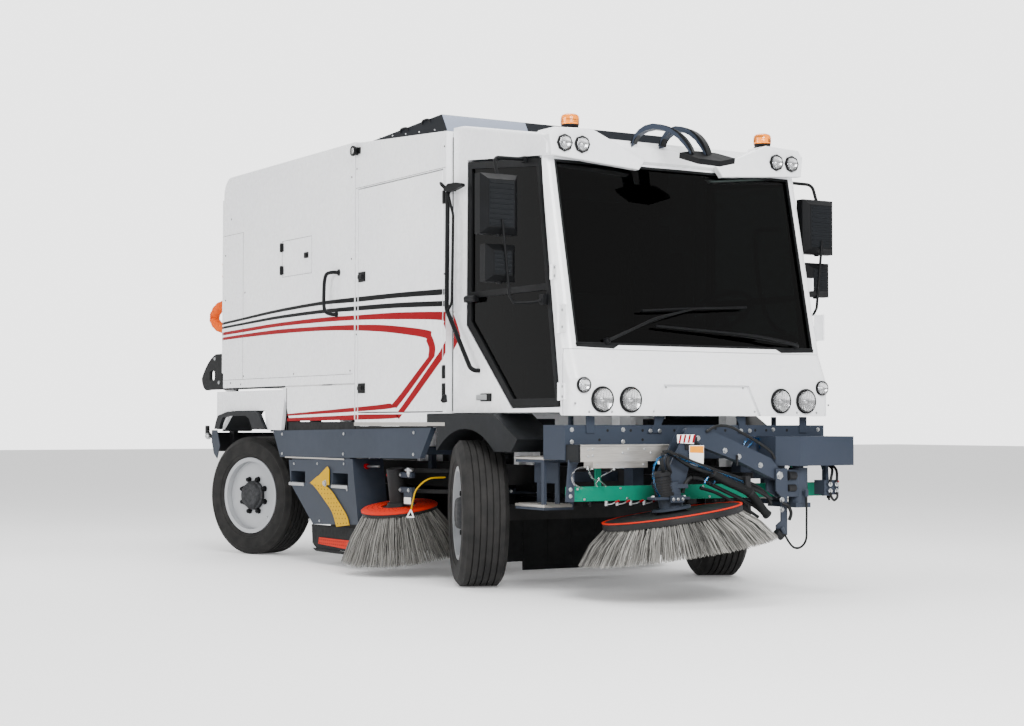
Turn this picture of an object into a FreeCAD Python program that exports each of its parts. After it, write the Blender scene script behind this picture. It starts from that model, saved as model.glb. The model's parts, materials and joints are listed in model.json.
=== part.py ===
# Compact street sweeper truck: a short cab-over chassis with four steered wheels, an engine bay,
# a tipping hopper, two side brushes, a cross brush and a raised front brush on a swinging arm.
# Millimetres.  X: from the middle plane, the vehicle's left positive.  Z: up from the ground.
# Y: from the front axle's line, rearwards positive; save() shifts it to the middle of the length.
import FreeCAD
import Part
import math
import os

V = FreeCAD.Vector

# ---- driving dimensions -------------------------------------------------------------------
# overall
bodyHalf = 1050.0        # half width over the hopper, engine bay and skirts
cabHalf = 1000.0         # half width over the cab
gap = 8.0                # gap round each door and panel

# running gear
wheelBase = 3590.0
wheelRadius = 475.0
tyreHalfWidth = 150.0
beadRadius = 286.0
rimHalfWidth = 118.0
flangeRadius = 305.0
flangeWidth = 12.0
seatGap = 0.3            # clearance between curved faces that seat on each other
stubRadius = 40.0
runningFit = 0.05
hubRadius = 100.0
kingpinX = {"front": 820.0, "rear": 805.0}
kingpinOffset = 120.0    # from the kingpin to the wheel's middle
kingpinRadius = 20.0
bossRadius = 50.0
bossHeight = 140.0
earHeight = 40.0
restSteer = {"front": -23.0, "rear": 19.0}   # degrees about +Z
axleHalfHeight = 50.0

# frame
railOuter = 460.0
railWidth = 80.0
railBottom = 600.0
railTop = 780.0
railFront = -950.0
railRear = 4180.0

# cab
cabWall = 45.0
cabFloor = 1128.0
noseLow = 1108.0
cabRear = 250.0
cabSplit = 2800.0        # underside of the roof panel at the rear
splitDrop = 0.086        # fall of that joint per mm towards the front
roofRise = 220.0         # roof panel above the joint at the rear
roofFrontRise = 142.0    # and at the front edge
visorY = -900.0
screenTopY = -861.0
screenTopZ = cabSplit - splitDrop * (cabRear - screenTopY)
screenLowY = -1119.0
screenLowZ = 1512.0
noseY = -1195.0          # front face of the lower front panel
noseBreakZ = 1330.0
cornerRadius = 60.0
glassThick = 6.0
rearPaneHalf = 640.0
rearPaneLow = 1950.0
glassLap = 0.5           # what the windscreen stands back from its opening

# brows over the windscreen: half outline on the vehicle's left, in X and in Z from cabSplit
browFront = -935.0
browThick = 50.0
browDeep = 190.0
browOutline = [(985.0, -100.0), (1000.0, 26.0), (962.0, 74.0), (690.0, 86.0),
               (280.0, -83.0), (332.0, -147.0)]
browFillet = 11.0
roofLampX = (895.0, 767.0)
roofLampZ = cabSplit - 21.0
roofLampRadius = 50.0
beaconX = 764.0
beaconY = -800.0
beaconRadius = 60.0

# doors of the cab: outline in Y, Z
doorThick = 45.0
hingePin = 6.0
doorTopGap = 14.0        # from the roof joint down to the door's top edge
doorTopRear = (61.0, cabSplit - splitDrop * (cabRear - 61.0) - doorTopGap)
doorTopFront = (-824.0, cabSplit - splitDrop * (cabRear + 824.0) - doorTopGap)
doorLowFront = (-1052.0, 1165.0)
doorLowRear = (-497.0, 1160.0)
doorMidRear = (70.0, 1702.0)
doorFrameWidth = 48.0
beltZ = 1895.0           # middle of the bar between the two panes
beltHalf = 20.0

# mirrors on each door: distance out from the cab's side, low and high edge below the door's
# front top corner, half width of each head
mirrorHeads = [(265.0, 484.0, 114.0, 133.0), (255.0, 774.0, 544.0, 105.0)]
mirrorY = -760.0
mirrorDeep = 100.0
mirrorChamfer = 38.0
mirrorTube = 11.0
handRailTop = cabSplit - 190.0

# front mirror on its two band arms: foot X, tip X
mirrorBands = [(-345.0, -100.0), (-120.0, 20.0)]
bandWide = 64.0
bandThick = 14.0
bladeHalf = 216.0
bladeZ = cabSplit - 100.0

# engine bay
bayFront = 262.0
bayRear = 1600.0
bayFloor = 1040.0
bayRoofFront = 3000.0
bayRoofRear = 3090.0
bayWall = 40.0
bayDoorTop = 2752.0
bayDoorLow = 1132.0
fenderTop = 1122.0
fenderRear = 512.0

# cowl on the engine bay's roof, which rises to a blunt front
cowlHalf = 930.0
cowlFoot = 477.0         # front edge on the roof
cowlTop = (548.0, 3162.0)
cowlRear = (1590.0, 3112.0)
cowlWall = 12.0

# hopper
hopperFront = 1612.0
hopperRear = 4060.0
hopperLow = 1350.0
hopperTop = 3100.0
hopperWall = 30.0
hopperRound = 150.0
rearDoorThick = 38.0
rearDoorLow = 1475.0
rearDoorTop = 2925.0
rearHingeY = 4114.0
rearHingeZ = 2942.0
hingeRodRadius = 8.0
tipY = 4230.0            # tipping pivot
tipZ = 1380.0
pinRadius = 25.0
earX = bodyHalf - 145.0    # inner face of the hopper's pivot ears
earThick = 30.0
mouthRim = 45.0          # flange round the rear opening, beyond the wall
hornOuter = bodyHalf - 5   # outer face of the rear door's corner horns
hornThick = 28.0
hornTop = 1640.0
hornLow = 1340.0

# hopper lift cylinders
liftX = 300.0
liftFootY = 2850.0
liftFootZ = 860.0
liftEyeY = 3530.0
liftEyeZ = 1250.0
barrelRadius = 52.0
rodRadius = 30.0
eyeRadius = 40.0
eyeThick = 40.0
lugStandoff = 36.0      # from the cylinder's middle plane to its lugs
lugThick = 20.0
footPinRadius = 18.0

# towing points
towEyeX = 300.0
towEyeY = -1200.0
towEyeZ = 735.0
towEyeThick = 30.0
towEyeRound = 45.0
towEyeBore = 20.0
clevisY = 4350.0
clevisZ = 700.0
clevisHeight = 120.0
clevisPlate = 25.0
clevisBore = 16.0
underRunHalf = 1020.0

# front brush
frontBrush = (-388.0, -1350.0, 521.0)
frontNormal = (-0.133, 0.069, 1.0)
frontDisc = 429.0
frontTip = 612.0
frontDrop = 248.0
slewX = 640.0
slewY = -1300.0
slewLow = 560.0
slewRadius = 35.0
liftPinX = 440.0
liftPinZ = 735.0
headPinX = -230.0
headPinZ = 1000.0
armPinRadius = 15.0
armHalf = 34.0           # half thickness of the arm's plate
armBoss = 32.0           # radius of the plate round each pin
forkGap = 6.0            # between the plate and the fork's cheeks
forkThick = 12.0
# upper and lower edge of the arm's plate between its pins, in X, Z
armUpper = [(-135.0, 1032.0), (15.0, 982.0), (385.0, 843.0), (458.0, 770.0)]
armLower = [(372.0, 728.0), (151.0, 818.0), (-133.0, 911.0)]
# route of the hanging hose from the gland at the swing post to the coupling on the arm's fork
hoseRadius = 7.0
hoseRoute = [(632.0, -1390.0, 600.0), (633.0, -1391.0, 507.0), (629.0, -1393.0, 412.0),
             (628.0, -1396.0, 322.0), (569.0, -1400.0, 274.0), (494.0, -1399.0, 288.0), (447.0, -1395.0, 374.0)]
glandRadius = 13.0

# side brushes
motorStandoff = 18.0     # from a brush plate to its motor
sideBrush = (-930.0, 1140.0, 478.0)
sideNormal = (-0.146, -0.055, 1.0)
sideDisc = 268.0
sideTip = 450.0
sideDrop = 360.0
sideArmX = -560.0
sideArmY = 610.0

# cross brush
crossY = 2440.0
crossZ = 305.0
crossRadius = 235.0
crossHalf = 640.0

# fixed side panels: outlines in Y, Z
panelLow = 1085.0
panelRear = (2735.0, 2865.0)       # Y of the rear edge at its low and high end
quarterLow = 1005.0
quarterTop = 1320.0
quarterFront = (-700.0, -775.0)    # Y from the rear axle's line, low and high end
quarterRear = 600.0
archOutline = [(-430.0, 990.0), (550.0, 990.0), (280.0, 1160.0), (-390.0, 1160.0)]    # Y from the rear axle
linerThick = 20.0
skirtOutline = [(460.0, 1030.0), (3040.0, 1000.0), (2900.0, 795.0), (620.0, 820.0)]
skirtStays = [700.0, 1450.0, 2750.0]
panelStays = [1700.0, 2500.0, 3000.0, 4100.0]
panelThick = 30.0
stepOutline = [(2740.0, 775.0), (1640.0, 800.0), (1540.0, 330.0), (2300.0, 300.0), (2700.0, 590.0)]
stepPockets = [1710.0, 2440.0]     # Y of each foot pocket's front
stepPocketSize = (180.0, 255.0, 90.0)
stepPocketZ = 602.0

# reach of the whole vehicle along Y, which sets the middle of its length
frontReach = frontBrush[1] - frontTip
rearReach = 4560.0
middleY = (frontReach + rearReach) / 2.0


# ---- helpers ------------------------------------------------------------------------------
def box(x0, x1, y0, y1, z0, z1):
    return Part.makeBox(x1 - x0, y1 - y0, z1 - z0, V(x0, y0, z0))


def rod(start, end, radius):
    a, b = V(*start), V(*end)
    return Part.makeCylinder(radius, (b - a).Length, a, b - a)


def prism(points, step):
    """A face through points, pushed along step."""
    wire = Part.makePolygon([V(*p) for p in points] + [V(*points[0])])
    return Part.Face(wire).extrude(V(*step))


def sidePlate(outline, x0, x1):
    """An outline in (Y, Z), from x0 to x1."""
    return prism([(x0, y, z) for y, z in outline], (x1 - x0, 0, 0))


def frontPlate(outline, y0, y1):
    """An outline in (X, Z), from y0 to y1."""
    return prism([(x, y0, z) for x, z in outline], (0, y1 - y0, 0))


def planPlate(outline, z0, z1):
    """An outline in (X, Y), from z0 to z1."""
    return prism([(x, y, z0) for x, y in outline], (0, 0, z1 - z0))


def join(shapes):
    first = shapes[0]
    return first.multiFuse(shapes[1:]).removeSplitter() if len(shapes) > 1 else first


def cut(shape, tools):
    for tool in tools:
        shape = shape.cut(tool)
    return shape


def flipped(shape):
    return shape.mirror(V(0, 0, 0), V(1, 0, 0))


def bothSides(shape):
    return Part.makeCompound([shape, flipped(shape)])


def onSide(shape, side):
    """Shapes are drawn on the right, at negative X; side +1 is the left."""
    return shape if side < 0 else flipped(shape)


def bentTube(points, radius, bend):
    """A round bar along straight runs joined by arcs of one bend radius."""
    path = [V(*p) for p in points]
    edges = []
    at = path[0]
    for before, corner, after in zip(path, path[1:], path[2:]):
        into = (corner - before).normalize()
        out = (after - corner).normalize()
        turn = math.acos(max(-1.0, min(1.0, into.dot(out))))
        back = bend * math.tan(turn / 2.0)
        start = corner - into * back
        end = corner + out * back
        toCentre = (out - into).normalize()
        middle = corner + toCentre * (bend / math.cos(turn / 2.0) - bend)
        edges.append(Part.LineSegment(at, start).toShape())
        edges.append(Part.Arc(start, middle, end).toShape())
        at = end
    edges.append(Part.LineSegment(at, path[-1]).toShape())
    wire = Part.Wire(edges)
    circle = Part.Wire(Part.makeCircle(radius, path[0], path[1] - path[0]))
    return wire.makePipeShell([circle], True, True)


def save(name, shape):
    shape = shape.copy()
    shape.translate(V(0, -middleY, 0))
    shape.exportStep("parts/" + name + ".step")
    return name


# ---- frame and running gear ---------------------------------------------------------------
crossMembers = [-900.0, 320.0, 1650.0, liftFootY - 20.0, 4140.0]      # Y of each, 80 long


def chassisFrame():
    """The two rails, which the cross members hold apart."""
    rail = box(-railOuter, railWidth - railOuter, railFront, railRear, railBottom, railTop)
    return bothSides(rail)


def towEye():
    """Front towing eye on a flat bar: the bar and ring, and the bore's tool."""
    z0, z1 = towEyeZ - towEyeThick / 2, towEyeZ + towEyeThick / 2
    bar = box(towEyeX - towEyeRound, towEyeX + towEyeRound, towEyeY, crossMembers[0], z0, z1)
    ring = rod((towEyeX, towEyeY, z0), (towEyeX, towEyeY, z1), towEyeRound)
    return [bar, ring], rod((towEyeX, towEyeY, z0 - 1), (towEyeX, towEyeY, z1 + 1), towEyeBore)


def liftFeet():
    """Foot brackets of the lift cylinders, each with its pin."""
    outer = -liftX - lugStandoff - lugThick
    foot = sidePlate([(liftFootY - 60, railTop - 40), (liftFootY + 20, railTop - 40),
                      (liftFootY + 35, liftFootZ), (liftFootY, liftFootZ + 35),
                      (liftFootY - 35, liftFootZ)], outer, outer + lugThick)
    pin = rod((outer, liftFootY, liftFootZ), (-liftX + eyeThick / 2, liftFootY, liftFootZ), footPinRadius)
    return [foot, flipped(foot), pin, flipped(pin)]


def rearStructure():
    """Rear beam with the tipping uprights, the under-run bar and the towing clevis."""
    beam = box(-earX + 5, earX - 5, railRear, railRear + 100, railBottom, railTop)
    upright = sidePlate([(railRear, railTop - 60), (railRear + 100, railTop - 60),
                         (tipY + 55, tipZ), (tipY, tipZ + 55), (tipY - 55, tipZ)],
                        -earX + 5, -earX + 45)
    pin = rod((-earX - earThick - 10, tipY, tipZ), (-earX + 25, tipY, tipZ), pinRadius)
    bar = box(-underRunHalf, underRunHalf, railRear + 90, railRear + 130, 820, 980)
    arms = [box(x, x + 60, railRear + 60, railRear + 95, railTop - 100, 900) for x in (-500, 440)]
    pieces = [beam, upright, flipped(upright), pin, flipped(pin), bar] + arms
    low = clevisZ - clevisHeight / 2
    for z in (low, low + clevisHeight - clevisPlate):
        pieces.append(box(-60, 60, railRear + 95, clevisY, z, z + clevisPlate))
        pieces.append(rod((0, clevisY, z), (0, clevisY, z + clevisPlate), 60))
    return pieces, rod((0, clevisY, low - 1), (0, clevisY, low + clevisHeight + 1), clevisBore)


def frameMembers():
    """Cross members between the rails, each with what it carries."""
    inner = railOuter - railWidth
    eye, eyeBore = towEye()
    rear, clevisTool = rearStructure()
    carried = {0: eye, 3: liftFeet(), 4: rear}
    members = []
    for k, y in enumerate(crossMembers):
        member = box(-inner, inner, y - 40, y + 40, railBottom + 40, railTop - 40)
        members.append(join([member] + carried.get(k, [])).cut(eyeBore).cut(clevisTool))
    return Part.makeCompound(members)


def axle(end):
    """A beam between two kingpin bosses, with its leaf springs up to the rails."""
    pin = kingpinX[end]
    middle = wheelRadius
    half = axleHalfHeight
    bossTop = middle + bossHeight / 2
    bossLow = middle - bossHeight / 2
    pieces = [box(-pin, pin, -half, half, middle - half, middle + half)]
    for x in (-pin, pin):
        pieces.append(rod((x, 0, bossLow), (x, 0, bossTop), bossRadius))
    for x in (-railOuter + railWidth / 2, railOuter - railWidth / 2):
        pieces.append(box(x - 35, x + 35, -480, 480, middle + half, middle + half + 40))
        for y in (-480, 440):
            pieces.append(box(x - 25, x + 25, y, y + 40, middle + half + 30, railBottom))
    if end == "rear":
        pieces.append(Part.makeSphere(120, V(0, 0, middle)))
        pieces.append(rod((0, -260, middle), (0, 0, middle), 70))
    whole = join(pieces)
    holes = [rod((x, 0, bossLow - 1), (x, 0, bossTop + 1), kingpinRadius + runningFit)
             for x in (-pin, pin)]
    return cut(whole, holes)


def knuckle():
    """A forked knuckle on the vehicle's right: kingpin at the origin, stub axle towards -X."""
    half = bossHeight / 2
    web0 = bossRadius + 8
    web1 = kingpinOffset - 32
    pieces = [rod((0, 0, -half - earHeight), (0, 0, half + earHeight), kingpinRadius)]
    for z in (-half - earHeight, half + seatGap):
        height = earHeight - seatGap
        ear = Part.makeCylinder(bossRadius, height, V(0, 0, z))
        ear = ear.fuse(box(-web1, 0, -bossRadius, bossRadius, z, z + height))
        pieces.append(ear)
    pieces.append(box(-web1, -web0, -bossRadius - 20, bossRadius + 20, -half - earHeight, half + earHeight))
    pieces.append(rod((-web1 + 1, 0, 0), (-kingpinOffset - 60, 0, 0), stubRadius))
    return join(pieces)


def wheelRim():
    """A disc wheel: barrel, two flanges, dished disc and hub.  Its axis is X, outside at -X."""
    w = rimHalfWidth
    inner = beadRadius - 12
    pieces = []
    barrel = rod((-w, 0, 0), (w, 0, 0), beadRadius).cut(rod((-w - 1, 0, 0), (w + 1, 0, 0), inner))
    pieces.append(barrel)
    for x in (-w - flangeWidth, w):
        ring = rod((x, 0, 0), (x + flangeWidth, 0, 0), flangeRadius)
        pieces.append(ring.cut(rod((x - 1, 0, 0), (x + flangeWidth + 1, 0, 0), inner)))
    dish = rod((-78, 0, 0), (-64, 0, 0), inner + 4)
    pieces.append(dish)
    pieces.append(rod((-100, 0, 0), (28, 0, 0), hubRadius))
    rim = join(pieces)
    holes = [rod((-kingpinOffset + 59, 0, 0), (30, 0, 0), stubRadius + runningFit)]
    for k in range(8):
        a = math.radians(45 * k + 22.5)
        y, z = 205 * math.cos(a), 205 * math.sin(a)
        holes.append(rod((-90, y, z), (-50, y, z), 26))
    return cut(rim, holes)


def tyre():
    """One solid of revolution about X, seated between the rim's flanges."""
    bead = beadRadius + seatGap
    w = rimHalfWidth - seatGap
    lip = flangeRadius + 1
    tread = 118.0
    shoulder = wheelRadius - 18
    r = wheelRadius

    def half(sign):
        low = V(sign * w, bead, 0)
        up = V(sign * w, lip, 0)
        bulge = V(sign * tyreHalfWidth, (lip + shoulder) / 2, 0)
        high = V(sign * (tread + 14), shoulder, 0)
        top = V(sign * tread, r, 0)
        return low, up, bulge, high, top

    low, up, bulge, high, top = half(-1)
    lowB, upB, bulgeB, highB, topB = half(1)
    edges = [Part.LineSegment(low, up).toShape(), Part.Arc(up, bulge, high).toShape(),
             Part.LineSegment(high, top).toShape(), Part.LineSegment(top, topB).toShape(),
             Part.LineSegment(topB, highB).toShape(), Part.Arc(highB, bulgeB, upB).toShape(),
             Part.LineSegment(upB, lowB).toShape(), Part.LineSegment(lowB, low).toShape()]
    return Part.Face(Part.Wire(edges)).revolve(V(0, 0, 0), V(1, 0, 0), 360)


def placeWheel(shape, end, side):
    """From the wheel's own middle to its corner of the vehicle, turned as it stands steered."""
    shape = shape.copy()
    shape.translate(V(-kingpinOffset, 0, 0))
    return placeKnuckle(shape, end, side)


def placeKnuckle(shape, end, side):
    shape = onSide(shape.copy(), side)
    shape.rotate(V(0, 0, 0), V(0, 0, 1), restSteer[end])
    shape.translate(V(side * kingpinX[end], 0 if end == "front" else wheelBase, wheelRadius))
    return shape


# ---- cab ----------------------------------------------------------------------------------
def cabOutline(inset):
    """The cab's side outline in (Y, Z), moved in by inset all round."""
    i = inset
    rise = (screenLowY - screenTopY) / (screenLowZ - screenTopZ)      # run rearwards per mm of height
    topZ = cabSplit + 60
    return [(cabRear - i, cabFloor + i),
            (cabRear - i, topZ),
            (screenTopY + (topZ - screenTopZ) * rise + i * 1.02, topZ),
            (screenLowY + i * 1.02, screenLowZ),
            (noseY + i, noseBreakZ),
            (noseY + i, noseLow + i),
            (noseY + 130 + i, noseLow + i),
            (noseY + 150 + i, cabFloor + i)]


def cabSolid(inset):
    half = cabHalf - inset
    solid = sidePlate(cabOutline(inset), -half, half)
    edges = [e for e in solid.Edges
             if abs(abs(e.CenterOfMass.x) - half) < 1 and e.CenterOfMass.y < screenTopY + 60
             and e.CenterOfMass.z > cabFloor + inset + 5]
    return solid.makeFillet(cornerRadius - inset if inset < cornerRadius - 10 else 12, edges)


def doorOutline(grow):
    """The door's outline in (Y, Z), grown outwards by grow."""
    g = grow
    return [(doorTopRear[0] + g, doorTopRear[1] + g), (doorTopFront[0] - g * 0.8, doorTopFront[1] + g),
            (doorLowFront[0] - g * 1.2, doorLowFront[1] - g), (doorLowRear[0] + g * 0.4, doorLowRear[1] - g),
            (doorMidRear[0] + g, doorMidRear[1] - g * 0.4)]


def sloped(z, y):
    """Height at y of a line that falls towards the front beside the roof joint."""
    return z - splitDrop * (cabRear - y)


def paneOutlines(inset):
    """Upper and lower pane of the door in (Y, Z), each moved in by inset."""
    f = doorFrameWidth + inset
    lean = (doorTopFront[0] - doorLowFront[0]) / (doorTopFront[1] - doorLowFront[1])

    def frontY(z):
        return doorLowFront[0] + lean * (z - doorLowFront[1]) + f

    rear = doorTopRear[0] - f
    upperLow, lowerTop = beltZ + beltHalf + inset, beltZ - beltHalf - inset
    topRear, topFront = doorTopRear[1] - f, doorTopFront[1] - f
    low = doorLowFront[1] + f
    cornerZ = doorMidRear[1] + f * 0.5
    slope = (doorMidRear[0] - doorLowRear[0]) / (doorMidRear[1] - doorLowRear[1])
    upper = [(rear, topRear), (frontY(topFront), topFront), (frontY(upperLow), upperLow), (rear, upperLow)]
    lower = [(rear, lowerTop), (frontY(lowerTop), lowerTop), (frontY(low), low),
             (doorLowRear[0] + slope * f - f * 1.35, low), (rear, cornerZ)]
    return [upper, lower]


def doorAxisPoint(z):
    """A point of the door's hinge axis, which leans with the door's front edge."""
    run = (doorTopFront[0] - doorLowFront[0]) / (doorTopFront[1] - doorLowFront[1])
    inset = doorThick / 2 * math.hypot(1.0, run)
    return (-cabHalf + doorThick / 2, doorLowFront[0] + inset + run * (z - doorLowFront[1]), z)


def doorPin(z0, z1):
    return rod(doorAxisPoint(z0), doorAxisPoint(z1), hingePin)


def splitTool():
    """Everything above the joint between the cab's walls and its roof panel."""
    y0, y1, high = -1400.0, cabRear + 60, cabSplit + 600
    return sidePlate([(y1, sloped(cabSplit, y1)), (y0, sloped(cabSplit, y0)), (y0, high), (y1, high)],
                     -1200, 1200)


def screenTool(inset):
    """The windscreen's opening, pushed through the front wall."""
    w = cabHalf - 75 - inset
    z0 = screenLowZ + 25 + inset
    z1 = screenTopZ - 20 - inset
    return frontPlate([(-w, z0), (w, z0), (w, z1), (-w, z1)], -1400, -700)


def rearPane(y0, y1):
    """The rear window's outline, from y0 to y1."""
    return box(-rearPaneHalf, rearPaneHalf, y0, y1, rearPaneLow, cabSplit - 200)


def cabShell():
    shell = cabSolid(0).cut(cabSolid(cabWall))
    nose = box(-1200, 1200, -1400, screenLowY + cabWall, noseLow - 10, screenLowZ - 2)
    tools = [splitTool(), screenTool(0), rearPane(cabRear - 100, cabRear + 20), nose]
    opening = doorOutline(gap)
    opening[0] = (opening[0][0], opening[0][1] + 80)        # nothing is left above the door
    opening[1] = (opening[1][0] + 12, opening[1][1] + 80)
    for x in (-1200.0, cabHalf - 150):
        tools.append(sidePlate(opening, x, x + 350))
    shell = cut(shell, tools)
    # bulkhead that closes the cab behind the front panel
    shutY = screenLowY + cabWall
    shut = box(-cabHalf + 60, cabHalf - 60, shutY - 12, shutY, cabFloor, screenLowZ - 2)
    # mounts down to the rails
    inner = railOuter - railWidth
    feet = [box(x0, x0 + railWidth, y0, y0 + 80, railTop, cabFloor)
            for x0 in (-railOuter, inner) for y0 in (-900, 120)]
    pin = doorPin(cabFloor + 2, doorLowFront[1] + 24)
    return join([shell, shut, pin, flipped(pin)] + feet)


def frontPanel():
    """The pressed panel below the windscreen, with its recess."""
    outer = cabSolid(0).cut(cabSolid(cabWall))
    keep = box(-1200, 1200, -1400, screenLowY + cabWall - 12 - seatGap, noseLow - 5,
               screenLowZ - 5)
    panel = outer.common(keep)
    recess = frontPlate([(-430, noseLow - 5), (430, noseLow - 5), (330, 1300), (-330, 1300)], -1400, noseY + 25)
    return panel.cut(recess)


def brow(sign):
    """A brow over the windscreen, which ends in a low point beside the middle notch."""
    outline = [(x, cabSplit + z) for x, z in browOutline]
    block = frontPlate(outline, browFront, browFront + browThick)
    edges = [e for e in block.Edges if abs(e.CenterOfMass.y - browFront) < 1]
    block = block.makeFillet(browFillet, edges)
    (x0, z0), (x1, z1), (x2, z2), (x3, z3) = outline[0:4]
    pod = frontPlate([(x0, z0 + 40), (x1, z1), (x2, z2), (x3, z3), (x3 - 60, z0 + 60)],
                     browFront + browThick - 5, browFront + browDeep)
    whole = block.fuse(pod)
    return whole if sign > 0 else flipped(whole)


def cabRoof():
    """The roof panel, hollow from below, with two brows that stand out over the windscreen."""
    roofRear, roofFront = cabSplit + roofRise, sloped(cabSplit, visorY) + roofFrontRise
    low = sloped(cabSplit, visorY) + 14
    outer = sidePlate([(cabRear, cabSplit - 80), (cabRear, roofRear), (cabRear - 120, roofRear),
                       (visorY + 45, roofFront), (visorY, roofFront - 45),
                       (visorY + 6, low), (visorY + 50, low - 30)], -cabHalf, cabHalf)
    edges = [e for e in outer.Edges if abs(abs(e.CenterOfMass.x) - cabHalf) < 1
             and e.CenterOfMass.z > cabSplit + 20 and e.CenterOfMass.y < cabRear - 100]
    outer = outer.makeFillet(22, edges)
    w = cabWall
    inner = sidePlate([(cabRear - w, cabSplit - 90), (cabRear - w, roofRear - w - 6),
                       (visorY + w + 20, roofFront - w), (visorY + w + 10, low - 40)],
                      -cabHalf + w, cabHalf - w)
    roof = outer.cut(inner).common(splitTool())
    top = doorAxisPoint(doorTopFront[1])
    pin = rod(doorAxisPoint(top[2] - 20), doorAxisPoint(sloped(cabSplit, top[1]) + 20), hingePin)
    return join([roof, brow(1), brow(-1), pin, flipped(pin)])


def cabGlass():
    """Windscreen and rear window, each set in the middle of its wall."""
    slab = cabSolid(18).cut(cabSolid(18 + glassThick))
    screen = slab.common(screenTool(glassLap)).common(box(-1200, 1200, -1400, -500, 0, 4000))
    return Part.makeCompound([screen, rearPane(cabRear - 20 - glassThick, cabRear - 20)])


def door(side):
    """A front-hinged door: a narrow frame round two panes, with its pull handle."""
    x0 = -cabHalf
    slab = sidePlate(doorOutline(0), x0, x0 + doorThick)
    front = [e for e in slab.Edges
             if abs(e.CenterOfMass.y - (doorTopFront[0] + doorLowFront[0]) / 2) < 5
             and abs(e.CenterOfMass.z - (doorTopFront[1] + doorLowFront[1]) / 2) < 5]
    slab = slab.makeFillet(doorThick / 2 - 2, front)
    for pane in paneOutlines(0):
        slab = slab.cut(sidePlate(pane, x0 - 5, x0 + doorThick + 5))
    handleZ = beltZ - beltHalf - 8
    handle = box(x0 - 32, x0 - 8, -82, doorTopRear[0] - 4, handleZ - 20, handleZ + 14)
    ends = [box(x0 - 10, x0 + 5, y, y + 26, handleZ - 16, handleZ + 10) for y in (-78, doorTopRear[0] - 34)]
    slab = join([slab, handle] + ends)
    low, high = doorLowFront[1], doorTopFront[1] + 12
    for z0, z1 in ((low - 5, low + 26), (high - 45, high + 5)):
        slab = slab.cut(rod(doorAxisPoint(z0), doorAxisPoint(z1), hingePin + runningFit))
    return onSide(slab, side)


def doorGlass(side):
    x0 = -cabHalf + 14
    panes = [sidePlate(pane, x0, x0 + glassThick) for pane in paneOutlines(0)]
    return onSide(Part.makeCompound(panes), side)


def mirrorHead(x, z0, z1, half):
    """A housing whose front face is smaller than its mirror face."""
    head = box(x - half, x + half, mirrorY - mirrorDeep / 2, mirrorY + mirrorDeep / 2, z0, z1)
    front = [e for e in head.Edges if abs(e.CenterOfMass.y - (mirrorY - mirrorDeep / 2)) < 1]
    return head.makeChamfer(mirrorChamfer, front)


def doorMirrors(side):
    """Two mirror heads on a tube from the door's top and a thinner one to its front edge."""
    x0 = -cabHalf
    top = doorTopFront[1]
    mainX, mainLow, mainHigh, mainHalf = mirrorHeads[0]
    heads = [mirrorHead(x0 - x, top - low, top - high, half) for x, low, high, half in mirrorHeads]
    upper = bentTube([(x0 + 10, -650, top + 10), (x0 - mainX, -715, top - 4),
                      (x0 - mainX, mirrorY, top - mainHigh - 5)], mirrorTube, 45)
    foot = box(x0 - 24, x0, -672, -628, top - 12, top + 26)
    frontY = mirrorY - mirrorDeep / 2 - mirrorTube + 4
    lower = bentTube([(x0 - mainX, frontY, top - mainLow + 90), (x0 - 215, frontY, 1840),
                      (x0 - 185, frontY, 1793),
                      (x0 - 60, -852, 1800), (x0 - 8, -881, 1815)], mirrorTube - 2, 20)
    clamp = box(x0 - 26, x0, -904, -858, 1785, 1848)
    outside = box(x0 - 500, x0, -1200, 0, 1000, 3500)
    return onSide(join([upper, lower, foot, clamp] + heads).common(outside), side)


def seats():
    """Driver's and passenger's seats: base, cushion and back, with head rest."""
    pieces = []
    for x in (-480, 480):
        seat = join([box(x - 150, x + 150, -420, -60, cabFloor + cabWall, 1450),
                     box(x - 240, x + 240, -500, -20, 1450, 1570),
                     sidePlate([(-70, 1570), (50, 1570), (130, 2250), (20, 2250)], x - 230, x + 230),
                     sidePlate([(30, 2250), (120, 2250), (130, 2440), (40, 2440)], x - 130, x + 130)])
        pieces.append(seat)
    return Part.makeCompound(pieces)


def dashboard():
    """Dashboard, steering column and steering wheel, which has no joint of its own."""
    dash = sidePlate([(-1065, 1450), (-1065, 1560), (-960, 1640), (-800, 1600), (-800, 1440)], -900, 900)
    foot = box(-60, 60, -1000, -860, cabFloor + cabWall, 1450)
    middle = V(480, -700, 1790)
    lean = V(0, 200, 290).normalize()
    column = rod((480, -900, 1500), tuple(middle), 32)
    wheel = Part.makeTorus(215, 16, middle, lean)
    spoke = rod((480 - 215, middle.y, middle.z), (480 + 215, middle.y, middle.z), 11)
    hub = rod(tuple(middle - lean * 20), tuple(middle + lean * 14), 48)
    return join([dash, foot, column, wheel, spoke, hub])


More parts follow.
